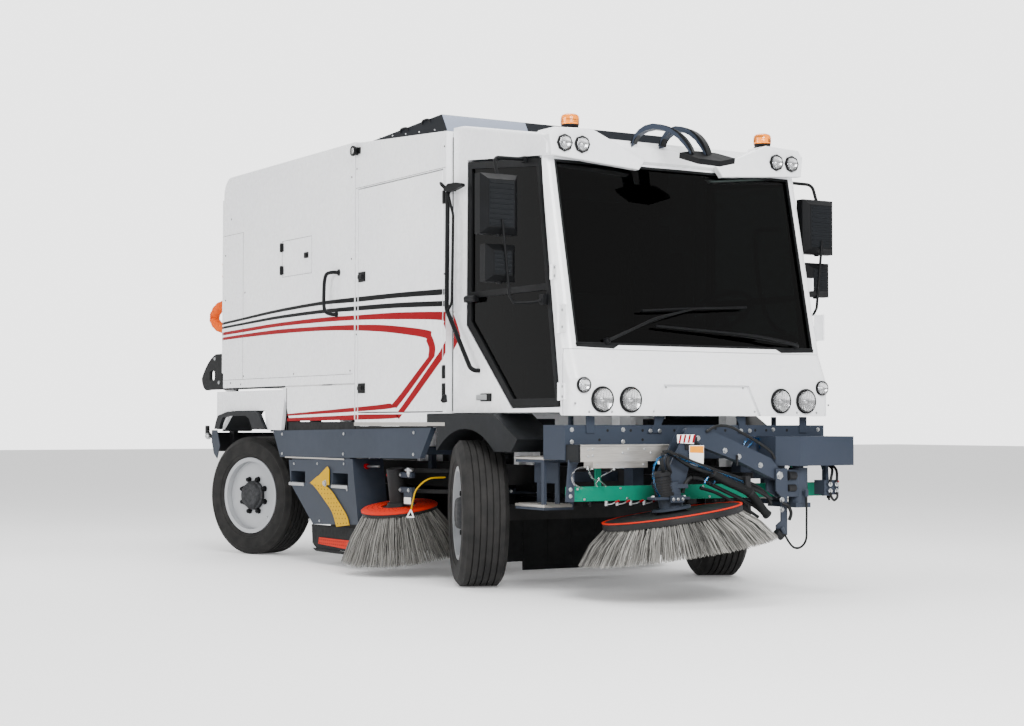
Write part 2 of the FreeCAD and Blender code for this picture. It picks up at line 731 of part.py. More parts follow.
def mirrorBand(footX, tipX):
    """A flat band that rises off the roof's front edge and arches down to the front mirror."""
    foot = V(footX, visorY + 30, sloped(cabSplit, visorY) + roofFrontRise - 20)
    tip = V(tipX, -1200.0, bladeZ + 38)
    run = V(tip.x - foot.x, tip.y - foot.y, 0)
    along = V(run.x, run.y, 0).normalize()
    across = V(-along.y, along.x, 0)

    def at(s, z):
        return foot + along * (run.Length * s) + V(0, 0, z - foot.z)

    high = foot.z + 112
    crown = at(0.36, high)
    tail = at(1.0, tip.z) - along * bandThick * 1.6
    underside = at(0.36, high - bandThick)
    edges = [Part.Arc(at(0, foot.z), at(0.14, foot.z + 82), crown).toShape(),
             Part.Arc(crown, at(0.74, high - 46), at(1.0, tip.z)).toShape(),
             Part.LineSegment(at(1.0, tip.z), tail).toShape(),
             Part.Arc(tail, at(0.70, high - 60), underside).toShape(),
             Part.Arc(underside, at(0.17, foot.z + 66), at(0.06, foot.z)).toShape(),
             Part.LineSegment(at(0.06, foot.z), at(0, foot.z)).toShape()]
    face = Part.Face(Part.Wire(edges))
    face.translate(across * (-bandWide / 2))
    return face.extrude(across * bandWide)


def frontMirror():
    """A pointed mirror plate held ahead of the windscreen by two bands."""
    outline = [(-bladeHalf, -1195), (-90, -1160), (90, -1160), (bladeHalf, -1200), (60, -1248), (-100, -1240)]
    blade = prism([(x, y, bladeZ + (y + 1200) * 0.75) for x, y in outline], (0, -8, 34))
    return join([blade] + [mirrorBand(foot, tip) for foot, tip in mirrorBands])


def cabRails(roof):
    """Hand rails behind the doors, each with its top blade and inner rail, and the front mirror."""
    x = -cabHalf - 60
    top = handRailTop
    rail = bentTube([(-cabHalf, 225, top), (x, 225, top), (x, 235, 1810),
                     (x, -90, 1400), (-cabHalf, -90, 1400)], 15, 40)
    blade = sidePlate([(y, top + z) for y, z in ((262, -6), (200, 30), (90, 26), (20, 12), (20, -6),
                                                 (110, -20), (200, -24))], x - 16, x + 14)
    inner = bentTube([(x, 214, top - 50), (x, 150, top - 180), (x, 165, 1850), (x, 215, 1808)], 9, 60)
    right = join([rail, blade, inner])
    return Part.makeCompound([right, flipped(right), frontMirror().cut(roof)])


# ---- lamps --------------------------------------------------------------------------------
# name, X, Z, radius, Y of the face it sits on; each is drawn on both sides
frontLamps = [("head outer", 792.0, 1204.0, 76.0, noseY), ("head inner", 585.0, 1204.0, 76.0, noseY),
              ("indicator", 926.0, 1290.0, 46.0, noseY),
              ("roof outer", roofLampX[0], roofLampZ, roofLampRadius, browFront),
              ("roof inner", roofLampX[1], roofLampZ, roofLampRadius, browFront)]
lampStand = 18.0
beaconBase = 30.0
beaconHigh = 74.0


def lamps(roof):
    """Lamps on both sides: headlamps, indicators, roof lamps, beacons, tail lamps, rear markers."""
    pieces = []
    for name, x, z, radius, faceY in frontLamps:
        pieces.append(rod((x, faceY - seatGap, z), (x, faceY - lampStand, z), radius))
    podTop = cabSplit + browOutline[3][1]
    foot = (beaconX, beaconY, podTop - 15)
    joint = (beaconX, beaconY, podTop + beaconBase)
    base = rod(foot, joint, beaconRadius - 6)
    dome = rod(joint, (beaconX, beaconY, joint[2] + beaconHigh), beaconRadius)
    pieces.append(join([base, dome]).cut(roof))
    pieces.append(box(620, 900, railRear + 130, railRear + 170, 840, 960))
    stalkY = railRear + 130
    stalk = bentTube([(997, stalkY, 930), (997, stalkY + 80, 930), (997, rearReach - 30, 1000)], 12, 60)
    marker = join([box(985, 1010, rearReach - 60, rearReach, 960, 1040), stalk])
    pieces.append(marker)
    return Part.makeCompound([shape for piece in pieces for shape in (piece, flipped(piece))])


# ---- front end ----------------------------------------------------------------------------
def bumperBeam():
    beam = box(-1010, 1010, -1120, -1040, 840, 1050)
    ends = [box(x, x + 30, -1120, -880, 840, 1050) for x in (-1010, 980)]
    stays = [sidePlate([(-1045, railBottom + 60), (railFront, railBottom + 20), (railFront, railTop),
                        (-1045, 1000)], x0, x0 + railWidth) for x0 in (-railOuter, railOuter - railWidth)]
    # housing over the front arm's swing post, with a chamfered inner corner
    cover = planPlate([(1000, -1120), (1000, -1420), (560, -1420), (450, -1310), (450, -1120)], 795, 980)
    cover = cover.cut(planPlate([(985, -1120), (985, -1405), (566, -1405), (465, -1304), (465, -1120)], 790, 965))
    socket = rod((slewX, slewY, 790), (slewX, slewY, 965), 62)
    bore = rod((slewX, slewY, 780), (slewX, slewY, 950), slewRadius + runningFit)
    # lower seat of the post, carried below the spray bar from the beam
    seat = box(slewX - 60, slewX + 60, slewY - 50, -1070, slewLow - 30, slewLow - seatGap)
    riser = box(slewX - 60, slewX + 60, -1100, -1070, slewLow - 30, 842)
    # valve block hung from the cover's outer end
    drop = box(848, 866, -1330, -1290, 695, 968)
    valve = box(806, 926, -1360, -1262, 606, 700)
    spools = [rod((x, -1374, z), (x, -1250, z), 13) for x in (838, 892) for z in (632, 674)]
    return cut(join([beam] + ends + stays + [cover, socket, seat, riser, drop, valve] + spools), [bore])


def sprayBar():
    bar = box(-1000, 1000, -1150, -1110, 592, 680)
    drops = [box(x - 20, x + 20, -1110, -1095, 640, 840) for x in (-760, 760)]
    return join([bar] + drops)


def valveBox():
    upper = box(-990, -335, -1255, -1120, 832, 930)
    lower = box(-880, -480, -1230, -1130, 792, 832)
    return join([upper, lower])


# ---- front brush --------------------------------------------------------------------------
def tilted(base, normal):
    """Placement that turns +Z to the brush's normal, at its middle."""
    return FreeCAD.Placement(V(*base), FreeCAD.Rotation(V(0, 0, 1), V(*normal)))


def brush(base, normal, disc, tip, drop):
    """A plate with its ring of bristles, as one hollow skirt."""
    plate = Part.makeCylinder(disc, 14, V(0, 0, -14))
    outer = Part.makeCone(tip, disc + 4, drop - 14, V(0, 0, -drop))
    inner = Part.makeCone(tip - 90, disc - 150, drop - 14, V(0, 0, -drop))
    hub = Part.makeCylinder(70, motorStandoff + 1 - seatGap, V(0, 0, -1))
    whole = plate.fuse(outer.cut(inner)).fuse(hub)
    whole.Placement = tilted(base, normal)
    return whole


def hoseGland(end, inner, outer, depth):
    """A fitting round the hose's end, with its block back to whatever carries it."""
    x, y, z = end
    body = rod(inner, outer, glandRadius)
    middle = [(a + b) / 2 for a, b in zip(inner, outer)]
    block = box(middle[0] - 9, middle[0] + 9, y, y + depth, middle[2] - 12, middle[2] + 12)
    return [body, block]


def frontArmBase():
    """Swing post with the forked plates that carry the lifting arm, and the hose's two fittings."""
    post = rod((slewX, slewY, slewLow), (slewX, slewY, 945), slewRadius)
    foot = rod((slewX, slewY, slewLow), (slewX, slewY, 780), 60)
    web = box(liftPinX + 50, slewX, slewY - 50, slewY + 30, 600, 770)
    reach = armHalf + forkGap
    inner = [(liftPinX + 60, 590), (liftPinX + 60, 780), (liftPinX - 30, 775), (liftPinX - 30, 640)]
    outer = [(liftPinX + 60, 360), (liftPinX + 60, 780), (liftPinX - 30, 775), (liftPinX - 30, 640),
             (liftPinX + 12, 600), (liftPinX + 12, 450), (liftPinX - 26, 425), (liftPinX - 26, 375)]
    front = slewY - 10 - reach - forkThick
    back = slewY - 10 + reach
    cheeks = [frontPlate(outer, front, front + forkThick), frontPlate(inner, back, back + forkThick)]
    pin = rod((liftPinX, front, liftPinZ), (liftPinX, back + forkThick, liftPinZ), armPinRadius)
    x, y, z = hoseRoute[0]
    upper = hoseGland(hoseRoute[0], (x, y, z), (x, y, z + 44), slewY - 40 - y)
    end, before = V(*hoseRoute[-1]), V(*hoseRoute[-2])
    tip = end + (end - before).normalize() * 44
    lower = hoseGland(hoseRoute[-1], tuple(end), tuple(tip), front + 4 - end.y)
    return join([post, foot, web] + cheeks + [pin] + upper + lower)


def loopHose():
    """The hose that hangs in a loop under the fork, from fitting to fitting."""
    path = [V(*p) for p in hoseRoute]
    edges = []
    at = path[0]
    for before, corner, after in zip(path, path[1:], path[2:]):
        shorter = min((corner - before).Length, (after - corner).Length)
        into = (corner - before).normalize()
        out = (after - corner).normalize()
        turn = math.acos(into.dot(out))
        back = 0.45 * shorter
        bend = back / math.tan(turn / 2.0)
        print("hose bend radius", round(bend, 1), "mm, turn", round(math.degrees(turn), 1))
        middle = corner + (out - into).normalize() * (bend / math.cos(turn / 2.0) - bend)
        edges.append(Part.LineSegment(at, corner - into * back).toShape())
        edges.append(Part.Arc(corner - into * back, middle, corner + out * back).toShape())
        at = corner + out * back
    edges.append(Part.LineSegment(at, path[-1]).toShape())
    wire = Part.Wire(edges)
    circle = Part.Wire(Part.makeCircle(hoseRadius, path[0], path[1] - path[0]))
    hose = wire.makePipeShell([circle], True, True)
    print("hose length", round(wire.Length, 1), "volume ratio",
          round(hose.Volume / (math.pi * hoseRadius ** 2 * wire.Length), 4))
    return hose


def frontArm():
    """A bent plate arm from the lift pin up to the head's pin."""
    mid = slewY - 10
    outline = [(headPinX, headPinZ + armBoss)] + armUpper + [(liftPinX, liftPinZ - armBoss)] + armLower
    outline.append((headPinX, headPinZ - armBoss))
    beam = frontPlate(outline, mid - armHalf, mid + armHalf)
    pins = [(liftPinX, liftPinZ), (headPinX, headPinZ)]
    ends = [rod((x, mid - armHalf, z), (x, mid + armHalf, z), armBoss) for x, z in pins]
    holes = [rod((x, mid - 60, z), (x, mid + 60, z), armPinRadius + runningFit) for x, z in pins]
    return cut(join([beam] + ends), holes)


def frontHead():
    """Motor and hanger of the front brush."""
    mid = slewY - 10
    n = V(*frontNormal).normalize()
    base = V(*frontBrush)
    motor = Part.makeCylinder(72, 165, base + n * motorStandoff, n)
    flange = Part.makeCylinder(120, 14, base + n * motorStandoff, n)
    outline = [(headPinX + 35, headPinZ + 35), (headPinX - 45, headPinZ + 35), (-480, 690), (-300, 690)]
    side = armHalf + forkGap + forkThick
    cheeks = [frontPlate(outline, y, y + forkThick) for y in (mid - side, mid + side - forkThick)]
    tie = box(-470, -310, frontBrush[1] - 60, mid + side, 670, 695)
    pin = rod((headPinX, mid - side, headPinZ), (headPinX, mid + side, headPinZ), armPinRadius)
    return join([motor, flange, tie, pin] + cheeks)


# ---- side brushes -------------------------------------------------------------------------
def sideArm(side):
    """Two level bars from the vertical post to the motor over the brush."""
    n = V(*sideNormal).normalize()
    base = V(*sideBrush)
    post = rod((sideArmX, sideArmY, 560), (sideArmX, sideArmY, 760), 38)
    bars = [planPlate([(sideArmX - 30, sideArmY - 35), (sideArmX + 30, sideArmY - 10),
                       (sideBrush[0] + 70, sideBrush[1] + 20), (sideBrush[0] - 30, sideBrush[1] - 40)], z, z + 26)
            for z in (572, 716)]
    motor = Part.makeCylinder(64, 250, base + n * motorStandoff, n)
    stem = rod((sideArmX, sideArmY, 500), (sideArmX, sideArmY, 800), 22)
    return onSide(join([post, stem, motor] + bars), side)


def sideArmMounts():
    """Brackets from the frame rails that hold the side arms' posts."""
    pieces = []
    for z in (500, 768):
        plate = box(sideArmX - 40, -railOuter, sideArmY - 45, sideArmY + 45, z, z + 25)
        plate = plate.cut(rod((sideArmX, sideArmY, z - 1), (sideArmX, sideArmY, z + 26), 22 + runningFit))
        pieces.append(plate)
    web = box(-railOuter - 25, -railOuter, sideArmY - 45, sideArmY + 45, 500, 793)
    return join(pieces + [web])


# ---- cross brush and its housing -----------------------------------------------------------
def crossBrush():
    core = rod((-crossHalf, crossY, crossZ), (crossHalf, crossY, crossZ), crossRadius)
    shaft = rod((-crossHalf - 40, crossY, crossZ), (crossHalf + 40, crossY, crossZ), 25)
    return join([core, shaft])


def brushHousing():
    """Hood over the cross brush, suction mouth and the duct up to the hopper."""
    w = crossHalf + 55
    y0, y1 = crossY - 290, crossY + 290
    hood = box(-w, w, y0, y1, 250, railBottom)
    hood = hood.cut(box(-w + 15, w - 15, y0 + 15, y1 - 15, 240, railBottom - 30))
    cheeks = []
    for x in (-w, w - 15):
        cheeks.append(box(x, x + 15, crossY - 60, crossY + 60, 230, 260))
    mouth = box(-480, 480, 1760, y0, 110, 330).cut(box(-465, 465, 1775, y0 - 15, 100, 315))
    duct = box(-150, 150, 1810, 2060, 315, hopperLow - 6).cut(box(-138, 138, 1822, 2048, 310, hopperLow))
    mouth = mouth.cut(box(-138, 138, 1822, 2048, 300, 340))
    bores = rod((-w - 5, crossY, crossZ), (w + 5, crossY, crossZ), 25 + runningFit)
    stays = [box(x0, x0 + railWidth, 1775, 1825, 330, railBottom) for x0 in (-railOuter, railOuter - railWidth)]
    return cut(join([hood, mouth, duct] + cheeks + stays), [bores])


# ---- engine bay ---------------------------------------------------------------------------
def engineBlock():
    feet = [box(x, x + 80, y, y + 120, railTop, railTop + 60) for x in (-430, 350) for y in (540, 1200)]
    return join([box(-360, 360, 480, 1380, railTop, 1760)] + feet)


def engineBay():
    """Shell of roof, end walls, floor and posts; the sides are open behind the doors."""
    outline = [(bayFront, bayFloor), (bayRear, bayFloor), (bayRear, bayRoofRear), (bayFront, bayRoofFront)]
    inset = bayWall
    hollow = [(bayFront + inset, bayFloor + inset), (bayRear - inset, bayFloor + inset),
              (bayRear - inset, bayRoofRear - inset), (bayFront + inset, bayRoofFront - inset)]
    shell = sidePlate(outline, -bodyHalf, bodyHalf)
    shell = shell.cut(sidePlate(hollow, -bodyHalf + inset, bodyHalf - inset))
    tools = [box(-400, 400, 440, 1430, bayFloor - 10, bayFloor + inset + 10)]
    for x in (-bodyHalf - 10, bodyHalf - inset - 10):
        tools.append(box(x, x + inset + 20, bayFront + 38, bayRear - 38, bayDoorLow, bayDoorTop))
    notch = box(-bodyHalf - 10, -740, bayFront - 10, fenderRear + 5, bayFloor - 10, fenderTop + 3)
    lid = box(-bodyHalf, -725, bayFront, fenderRear + 20, fenderTop + 3, fenderTop + 11)
    lid = lid.fuse(box(-740, -725, bayFront, fenderRear + 20, bayFloor, fenderTop + 11))
    lid = lid.fuse(box(-bodyHalf, -725, fenderRear + 5, fenderRear + 20, bayFloor, fenderTop + 11))
    shell = join([cut(shell, tools + [notch, flipped(notch)]), lid, flipped(lid)])
    inner = railOuter - railWidth
    feet = [box(x0, x0 + railWidth, y0, y0 + 60, railTop, bayFloor)
            for x0 in (-railOuter, inner) for y0 in (300, 1500)]
    pins = [bayPin(bayDoorTop - 28, bayDoorTop + 5, hingePin),
            bayPin(bayDoorLow - 5, bayDoorLow + 28, hingePin)]
    return join([shell] + feet + pins + [flipped(p) for p in pins])


def bayPin(z0, z1, radius):
    x, y = -bodyHalf + bayWall / 2, bayFront + 38 + gap + bayWall / 2
    return rod((x, y, z0), (x, y, z1), radius)


def engineDoor(side):
    slab = box(-bodyHalf, -bodyHalf + bayWall, bayFront + 38 + gap, bayRear - 38 - gap,
               bayDoorLow + gap, bayDoorTop - gap)
    front = [e for e in slab.Edges if abs(e.CenterOfMass.y - (bayFront + 38 + gap)) < 1
             and abs(e.CenterOfMass.z - (bayDoorLow + bayDoorTop) / 2) < 1]
    slab = slab.makeFillet(bayWall / 2 - 2, front)
    slab = slab.cut(bayPin(bayDoorTop - 30, bayDoorTop, hingePin + runningFit))
    slab = slab.cut(bayPin(bayDoorLow, bayDoorLow + 30, hingePin + runningFit))
    return onSide(slab, side)


# ---- hopper -------------------------------------------------------------------------------
def hopperSolid(inset):
    """The hopper's outer form moved in by inset, with its rounded upper rear edge."""
    i = inset
    solid = box(-bodyHalf + i, bodyHalf - i, hopperFront + i, hopperRear - i, hopperLow + i, hopperTop - i)
    edge = [e for e in solid.Edges if abs(e.CenterOfMass.y - (hopperRear - i)) < 1
            and abs(e.CenterOfMass.z - (hopperTop - i)) < 1]
    return solid.makeFillet(hopperRound - i, edge)


def hopperWalls():
    """The hopper's outer form less its hollow, closed at the rear too."""
    inlet = box(-140, 140, 1820, 2050, hopperLow - 5, hopperLow + hopperWall + 5)
    return cut(hopperSolid(0), [hopperSolid(hopperWall), inlet])


def hopperShell():
    """Tank with an open rear and the lugs for its lift cylinders."""
    walls = hopperWalls().common(box(-1200, 1200, 0, hopperRear - hopperWall, 0, 4000))
    x0 = -liftX - lugStandoff - lugThick
    lug = sidePlate([(liftEyeY - 90, hopperLow), (liftEyeY + 90, hopperLow), (liftEyeY + 35, liftEyeZ - 20),
                     (liftEyeY - 35, liftEyeZ - 20)], x0, x0 + lugThick)
    return join([walls, lug, flipped(lug)])


def hopperRearFrame():
    """The frame round the rear opening, with the pivot ears and the door's hinge brackets."""
    rim = hopperWall + mouthRim
    ring = hopperWalls().common(box(-1200, 1200, hopperRear - hopperWall, hopperRear + 5, 0, 4000))
    mouth = box(-bodyHalf + rim, bodyHalf - rim, hopperRear - 60, hopperRear + 5,
                rearDoorLow + 30, rearDoorTop - 30)
    ear = sidePlate([(hopperRear - 10, hopperLow), (tipY - 20, tipZ - 60), (tipY + 60, tipZ - 50),
                     (tipY + 70, tipZ + 30), (tipY, tipZ + 75), (hopperRear - 10, tipZ + 75)],
                    -earX - earThick, -earX)
    hole = rod((-earX - earThick - 1, tipY, tipZ), (-earX + 1, tipY, tipZ), pinRadius + runningFit)
    brackets = [box(x, x + 30, hopperRear - 20, rearHingeY + 12, rearHingeZ - 12, rearHingeZ + 12)
                for x in (-700, -590)]
    pin = rod((-700, rearHingeY, rearHingeZ), (-560, rearHingeY, rearHingeZ), hingeRodRadius)
    hinge = join(brackets + [pin])
    frame = join([ring.cut(mouth), ear, flipped(ear), hinge, flipped(hinge)])
    return cut(frame, [hole, flipped(hole)])


def rearHorn():
    """Rounded plate on the rear door's lower corner, with a slot through it."""
    y0 = hopperRear + 2 + rearDoorThick
    high, low = hornTop, hornLow
    a, b = V(0, y0, high), V(0, y0 + 135, high)
    c, d, e = V(0, y0 + 448, low + 100), V(0, y0 + 300, low), V(0, y0, low)
    edges = [Part.LineSegment(a, b).toShape(), Part.Arc(b, V(0, y0 + 330, high - 88), c).toShape(),
             Part.Arc(c, V(0, y0 + 420, low + 38), d).toShape(), Part.LineSegment(d, e).toShape(),
             Part.LineSegment(e, a).toShape()]
    plate = Part.Face(Part.Wire(edges)).extrude(V(hornThick, 0, 0))
    plate.translate(V(-hornOuter, 0, 0))
    slot = box(-hornOuter - 5, -hornOuter + hornThick + 5, y0 + 160, y0 + 270, low + 80, low + 162)
    ends = [e for e in slot.Edges if abs(e.CenterOfMass.x + hornOuter - hornThick / 2) < 1]
    return plate.cut(slot.makeFillet(26, ends))


def hopperRearDoor():
    y0 = hopperRear + 2
    y1 = y0 + rearDoorThick
    pieces = [box(-hornOuter, hornOuter, y0, y1, rearDoorLow, rearDoorTop)]
    holes = []
    for x in (-668, 592):
        pieces.append(box(x, x + 76, y1 - 4, rearHingeY, rearHingeZ - 60, rearHingeZ))
        pieces.append(rod((x, rearHingeY, rearHingeZ), (x + 76, rearHingeY, rearHingeZ), 16))
        holes.append(rod((x - 1, rearHingeY, rearHingeZ), (x + 77, rearHingeY, rearHingeZ),
                         hingeRodRadius + runningFit))
    return cut(join(pieces), holes)


def roofCowl():
    """Hollow wedge cowl on the engine bay's roof."""
    rise = (bayRoofRear - bayRoofFront) / (bayRear - bayFront)

    def roofZ(y):
        return bayRoofFront + rise * (y - bayFront) + seatGap

    (topY, topZ), (rearY, rearZ) = cowlTop, cowlRear
    w = cowlWall
    outer = [(cowlFoot, roofZ(cowlFoot)), (cowlFoot, roofZ(cowlFoot) + 34), (topY, topZ), (rearY, rearZ),
             (rearY, roofZ(rearY))]
    innerRear = rearY - 260
    inner = [(cowlFoot + w, roofZ(cowlFoot) - 40), (cowlFoot + w, roofZ(cowlFoot) + 30), (topY + w, topZ - w),
             (innerRear, roofZ(innerRear) + w), (innerRear, roofZ(innerRear) - 40)]
    return sidePlate(outer, -cowlHalf, cowlHalf).cut(sidePlate(inner, -cowlHalf + w, cowlHalf - w))


def liftGeometry():
    dy, dz = liftEyeY - liftFootY, liftEyeZ - liftFootZ
    length = math.hypot(dy, dz)
    return dy / length, dz / length, length


def liftPoint(s):
    """A point of the right cylinder's line, s along it from the foot."""
    uy, uz, length = liftGeometry()
    return (-liftX, liftFootY + uy * s, liftFootZ + uz * s)


def liftEye(y, z, half, radius):
    """A disc or a bore's tool about the cross axis at y, z."""
    return rod((-liftX - half, y, z), (-liftX + half, y, z), radius)


def liftBarrels():
    length = liftGeometry()[2]
    reach = length - 150
    body = join([rod(liftPoint(80), liftPoint(reach), barrelRadius),
                 liftEye(liftFootY, liftFootZ, eyeThick / 2, eyeRadius),
                 rod(liftPoint(20), liftPoint(85), 30)])
    bore = rod(liftPoint(100), liftPoint(reach + 1), rodRadius + runningFit)
    return bothSides(cut(body, [bore, liftEye(liftFootY, liftFootZ, eyeThick, footPinRadius + runningFit)]))


def liftRods():
    length = liftGeometry()[2]
    body = join([rod(liftPoint(105), liftPoint(length - 20), rodRadius),
                 liftEye(liftEyeY, liftEyeZ, eyeThick / 2, eyeRadius)])
    return bothSides(body.cut(liftEye(liftEyeY, liftEyeZ, eyeThick, 18)))


# ---- side panels, skirts, arches and steps --------------------------------------------------
def archPlate(grow, drop, x0, x1):
    """The rear wheel arch grown by grow on its sides and top and by drop at its foot."""
    (y0, z0), (y1, z1), (y2, z2), (y3, z3) = [(wheelBase + y, z) for y, z in archOutline]
    return sidePlate([(y0 - grow, z0 - drop), (y1 + grow, z1 - drop), (y2 + grow, z2 + grow),
                      (y3 - grow, z3 + grow)], x0, x1)


def lowerPanels():
    """White fixed panels below the hopper, and the rear quarters over the wheels."""
    x0, x1 = -bodyHalf, -bodyHalf + panelThick
    top = hopperLow - 12
    lowRear, topRear = panelRear
    fixed = sidePlate([(hopperFront, panelLow), (lowRear, panelLow), (topRear, top), (hopperFront, top)],
                      x0, x1)
    lowFront, topFront = quarterFront
    rear = wheelBase + quarterRear
    quarter = sidePlate([(wheelBase + lowFront, quarterLow), (rear, quarterLow), (rear, quarterTop),
                         (wheelBase + topFront, quarterTop)], x0, x1)
    quarter = quarter.cut(archPlate(0, 20, x0 - 5, x1 + 5))
    stays = []
    for y in panelStays:
        stays.append(box(x1, -railOuter + 5, y, y + 40, 1200, 1240))
        stays.append(box(-railOuter, -railOuter + railWidth, y, y + 40, railTop, 1240))
    return bothSides(join([fixed, quarter] + stays))


def sideSkirts():
    """Grey skirts along the sill with the step boxes below them."""
    x0 = -bodyHalf
    skirt = sidePlate(skirtOutline, x0, x0 + 40)
    stepBox = sidePlate(stepOutline, x0, x0 + 250)
    deep, wide, high = stepPocketSize
    pockets = [box(x0 - 5, x0 + deep, y0, y0 + wide, stepPocketZ, stepPocketZ + high) for y0 in stepPockets]
    link = box(x0 + 10, x0 + 40, 1700, 2700, 740, 830)
    stays = [box(x0 + 40, -railOuter, y, y + 50, 845, 890) for y in skirtStays]
    hangers = [box(-railOuter - 40, -railOuter, y, y + 50, railTop - 60, 890) for y in skirtStays]
    return bothSides(join([skirt, cut(stepBox, pockets), link] + stays + hangers))


def wheelArches():
    """Front mudguards over the steered wheels and the liners of the rear arches."""
    front = sidePlate([(fenderRear, fenderTop), (-350, fenderTop), (-650, 960), (-570, 880), (fenderRear, 880)],
                      -bodyHalf - 5, -760)
    front = front.cut(rod((-bodyHalf - 20, 0, wheelRadius), (-700, 0, wheelRadius), 548))
    front = front.cut(box(-1200, 0, 380, fenderRear + 10, 860, 1034))
    stay = box(-760, -railOuter, -30, 30, 1040, 1090)
    post = box(-railOuter, -railOuter + railWidth, -30, 30, railTop, 1090)
    x0, x1 = -bodyHalf + panelThick + 3, -760
    liner = archPlate(linerThick, 0, x0, x1).cut(archPlate(0, 5, x0 - 3, x1 + 10))
    top = archOutline[2][1] + linerThick
    linerStay = box(-760, -railOuter, wheelBase - 30, wheelBase + 30, top - 19, top)
    linerPost = box(-railOuter, -railOuter + railWidth, wheelBase - 30, wheelBase + 30, railTop, top)
    return bothSides(Part.makeCompound([join([front, stay, post]), join([liner, linerStay, linerPost])]))


def cabSteps():
    """Two treads on a bracket ahead of each front wheel."""
    x0, x1 = -1005.0, -790.0
    treads = [box(x0, x1, -880, -550, z - 30, z) for z in (560, 850)]
    side = sidePlate([(-880, 530), (-850, 530), (-850, 1104), (-880, 1104)], x1 - 20, x1)
    outer = sidePlate([(-880, 530), (-850, 530), (-850, 850), (-880, 850)], x0, x0 + 20)
    stay = box(x1 - 20, -railOuter, -880, -850, 700, 760)
    return bothSides(join(treads + [side, outer, stay]))


# ---- build --------------------------------------------------------------------------------
def main():
    os.makedirs("parts", exist_ok=True)
    roof = cabRoof()
    fixed = {
        "chassis_frame": chassisFrame(), "frame_members": frameMembers(), "cab_shell": cabShell(),
        "front_panel": frontPanel(), "loop_hose": loopHose(),
        "cab_roof": roof, "cab_glass": cabGlass(), "seats": seats(), "dashboard": dashboard(),
        "cab_rails": cabRails(roof), "lamps": lamps(roof), "bumper_beam": bumperBeam(),
        "spray_bar": sprayBar(), "valve_box": valveBox(), "engine_block": engineBlock(),
        "engine_bay": engineBay(), "lower_panels": lowerPanels(), "side_skirts": sideSkirts(),
        "wheel_arches": wheelArches(), "cab_steps": cabSteps(), "brush_housing": brushHousing(),
        "side_arm_mounts": bothSides(sideArmMounts()),
        "hopper_shell": hopperShell(), "hopper_rear_frame": hopperRearFrame(),
        "hopper_rear_door": hopperRearDoor(), "rear_horns": bothSides(rearHorn()), "roof_cowl": roofCowl(),
        "lift_barrels": liftBarrels(), "lift_rods": liftRods(), "cross_brush": crossBrush(),
        "front_arm_base": frontArmBase(), "front_arm": frontArm(), "front_brush_head": frontHead(),
        "front_brush": brush(frontBrush, frontNormal, frontDisc, frontTip, frontDrop),
    }
    for name, shape in fixed.items():
        save(name, shape)
    for word, side in (("right", -1), ("left", 1)):
        save("door_" + word, door(side))
        save("door_glass_" + word, doorGlass(side))
        save("door_mirrors_" + word, doorMirrors(side))
        save("engine_door_" + word, engineDoor(side))
        save("side_arm_" + word, sideArm(side))
        save("side_brush_" + word, onSide(brush(sideBrush, sideNormal, sideDisc, sideTip, sideDrop), side))
    for end in ("front", "rear"):
        beam = axle(end)
        beam.translate(V(0, 0 if end == "front" else wheelBase, 0))
        save("axle_" + end, beam)
        for word, side in (("right", -1), ("left", 1)):
            corner = "_" + end + "_" + word
            save("knuckle" + corner, placeKnuckle(knuckle(), end, side))
            save("rim" + corner, placeWheel(wheelRim(), end, side))
            save("tyre" + corner, placeWheel(tyre(), end, side))


main()
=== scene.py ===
# Street sweeper truck: finishes, brushes, tyres, lamps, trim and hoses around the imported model.
# Metres. Z is up, the front faces -Y and +X is the truck's left.
import json
import math
import random

import bmesh
import bpy
from mathutils import Matrix, Vector


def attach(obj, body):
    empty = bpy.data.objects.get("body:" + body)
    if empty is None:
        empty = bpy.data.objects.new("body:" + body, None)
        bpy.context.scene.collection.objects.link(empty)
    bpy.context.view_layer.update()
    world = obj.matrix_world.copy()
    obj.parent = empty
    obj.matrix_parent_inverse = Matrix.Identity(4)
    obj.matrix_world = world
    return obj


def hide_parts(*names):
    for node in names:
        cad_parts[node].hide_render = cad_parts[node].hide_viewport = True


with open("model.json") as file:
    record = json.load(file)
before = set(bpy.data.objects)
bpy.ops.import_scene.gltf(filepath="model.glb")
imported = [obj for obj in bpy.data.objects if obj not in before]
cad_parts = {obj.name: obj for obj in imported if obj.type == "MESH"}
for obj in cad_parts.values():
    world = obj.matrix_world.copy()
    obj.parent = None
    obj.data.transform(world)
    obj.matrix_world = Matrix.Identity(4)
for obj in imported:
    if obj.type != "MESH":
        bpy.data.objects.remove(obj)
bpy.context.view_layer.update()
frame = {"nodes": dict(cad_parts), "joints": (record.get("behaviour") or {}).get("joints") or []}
nodes = frame["nodes"]
print("frame loaded:", len(nodes), "nodes")


# small makers that everything below uses
def linear(code, alpha=1.0):
    out = []
    for at in (1, 3, 5):
        part = int(code[at:at + 2], 16) / 255
        out.append(part / 12.92 if part <= 0.04045 else ((part + 0.055) / 1.055) ** 2.4)
    return (*out, alpha)


def perMetre(sizeMm):
    return 1000 / sizeMm  # a texture's scale, from the size of its pattern


def addNode(tree, kind, settings=None, links=None):
    node = tree.nodes.new(kind)
    for name, value in (settings or {}).items():
        if isinstance(name, str) and hasattr(node, name):
            setattr(node, name, value)
        else:
            node.inputs[name].default_value = value
    for name, source in (links or {}).items():
        tree.links.new(source, node.inputs[name])
    return node


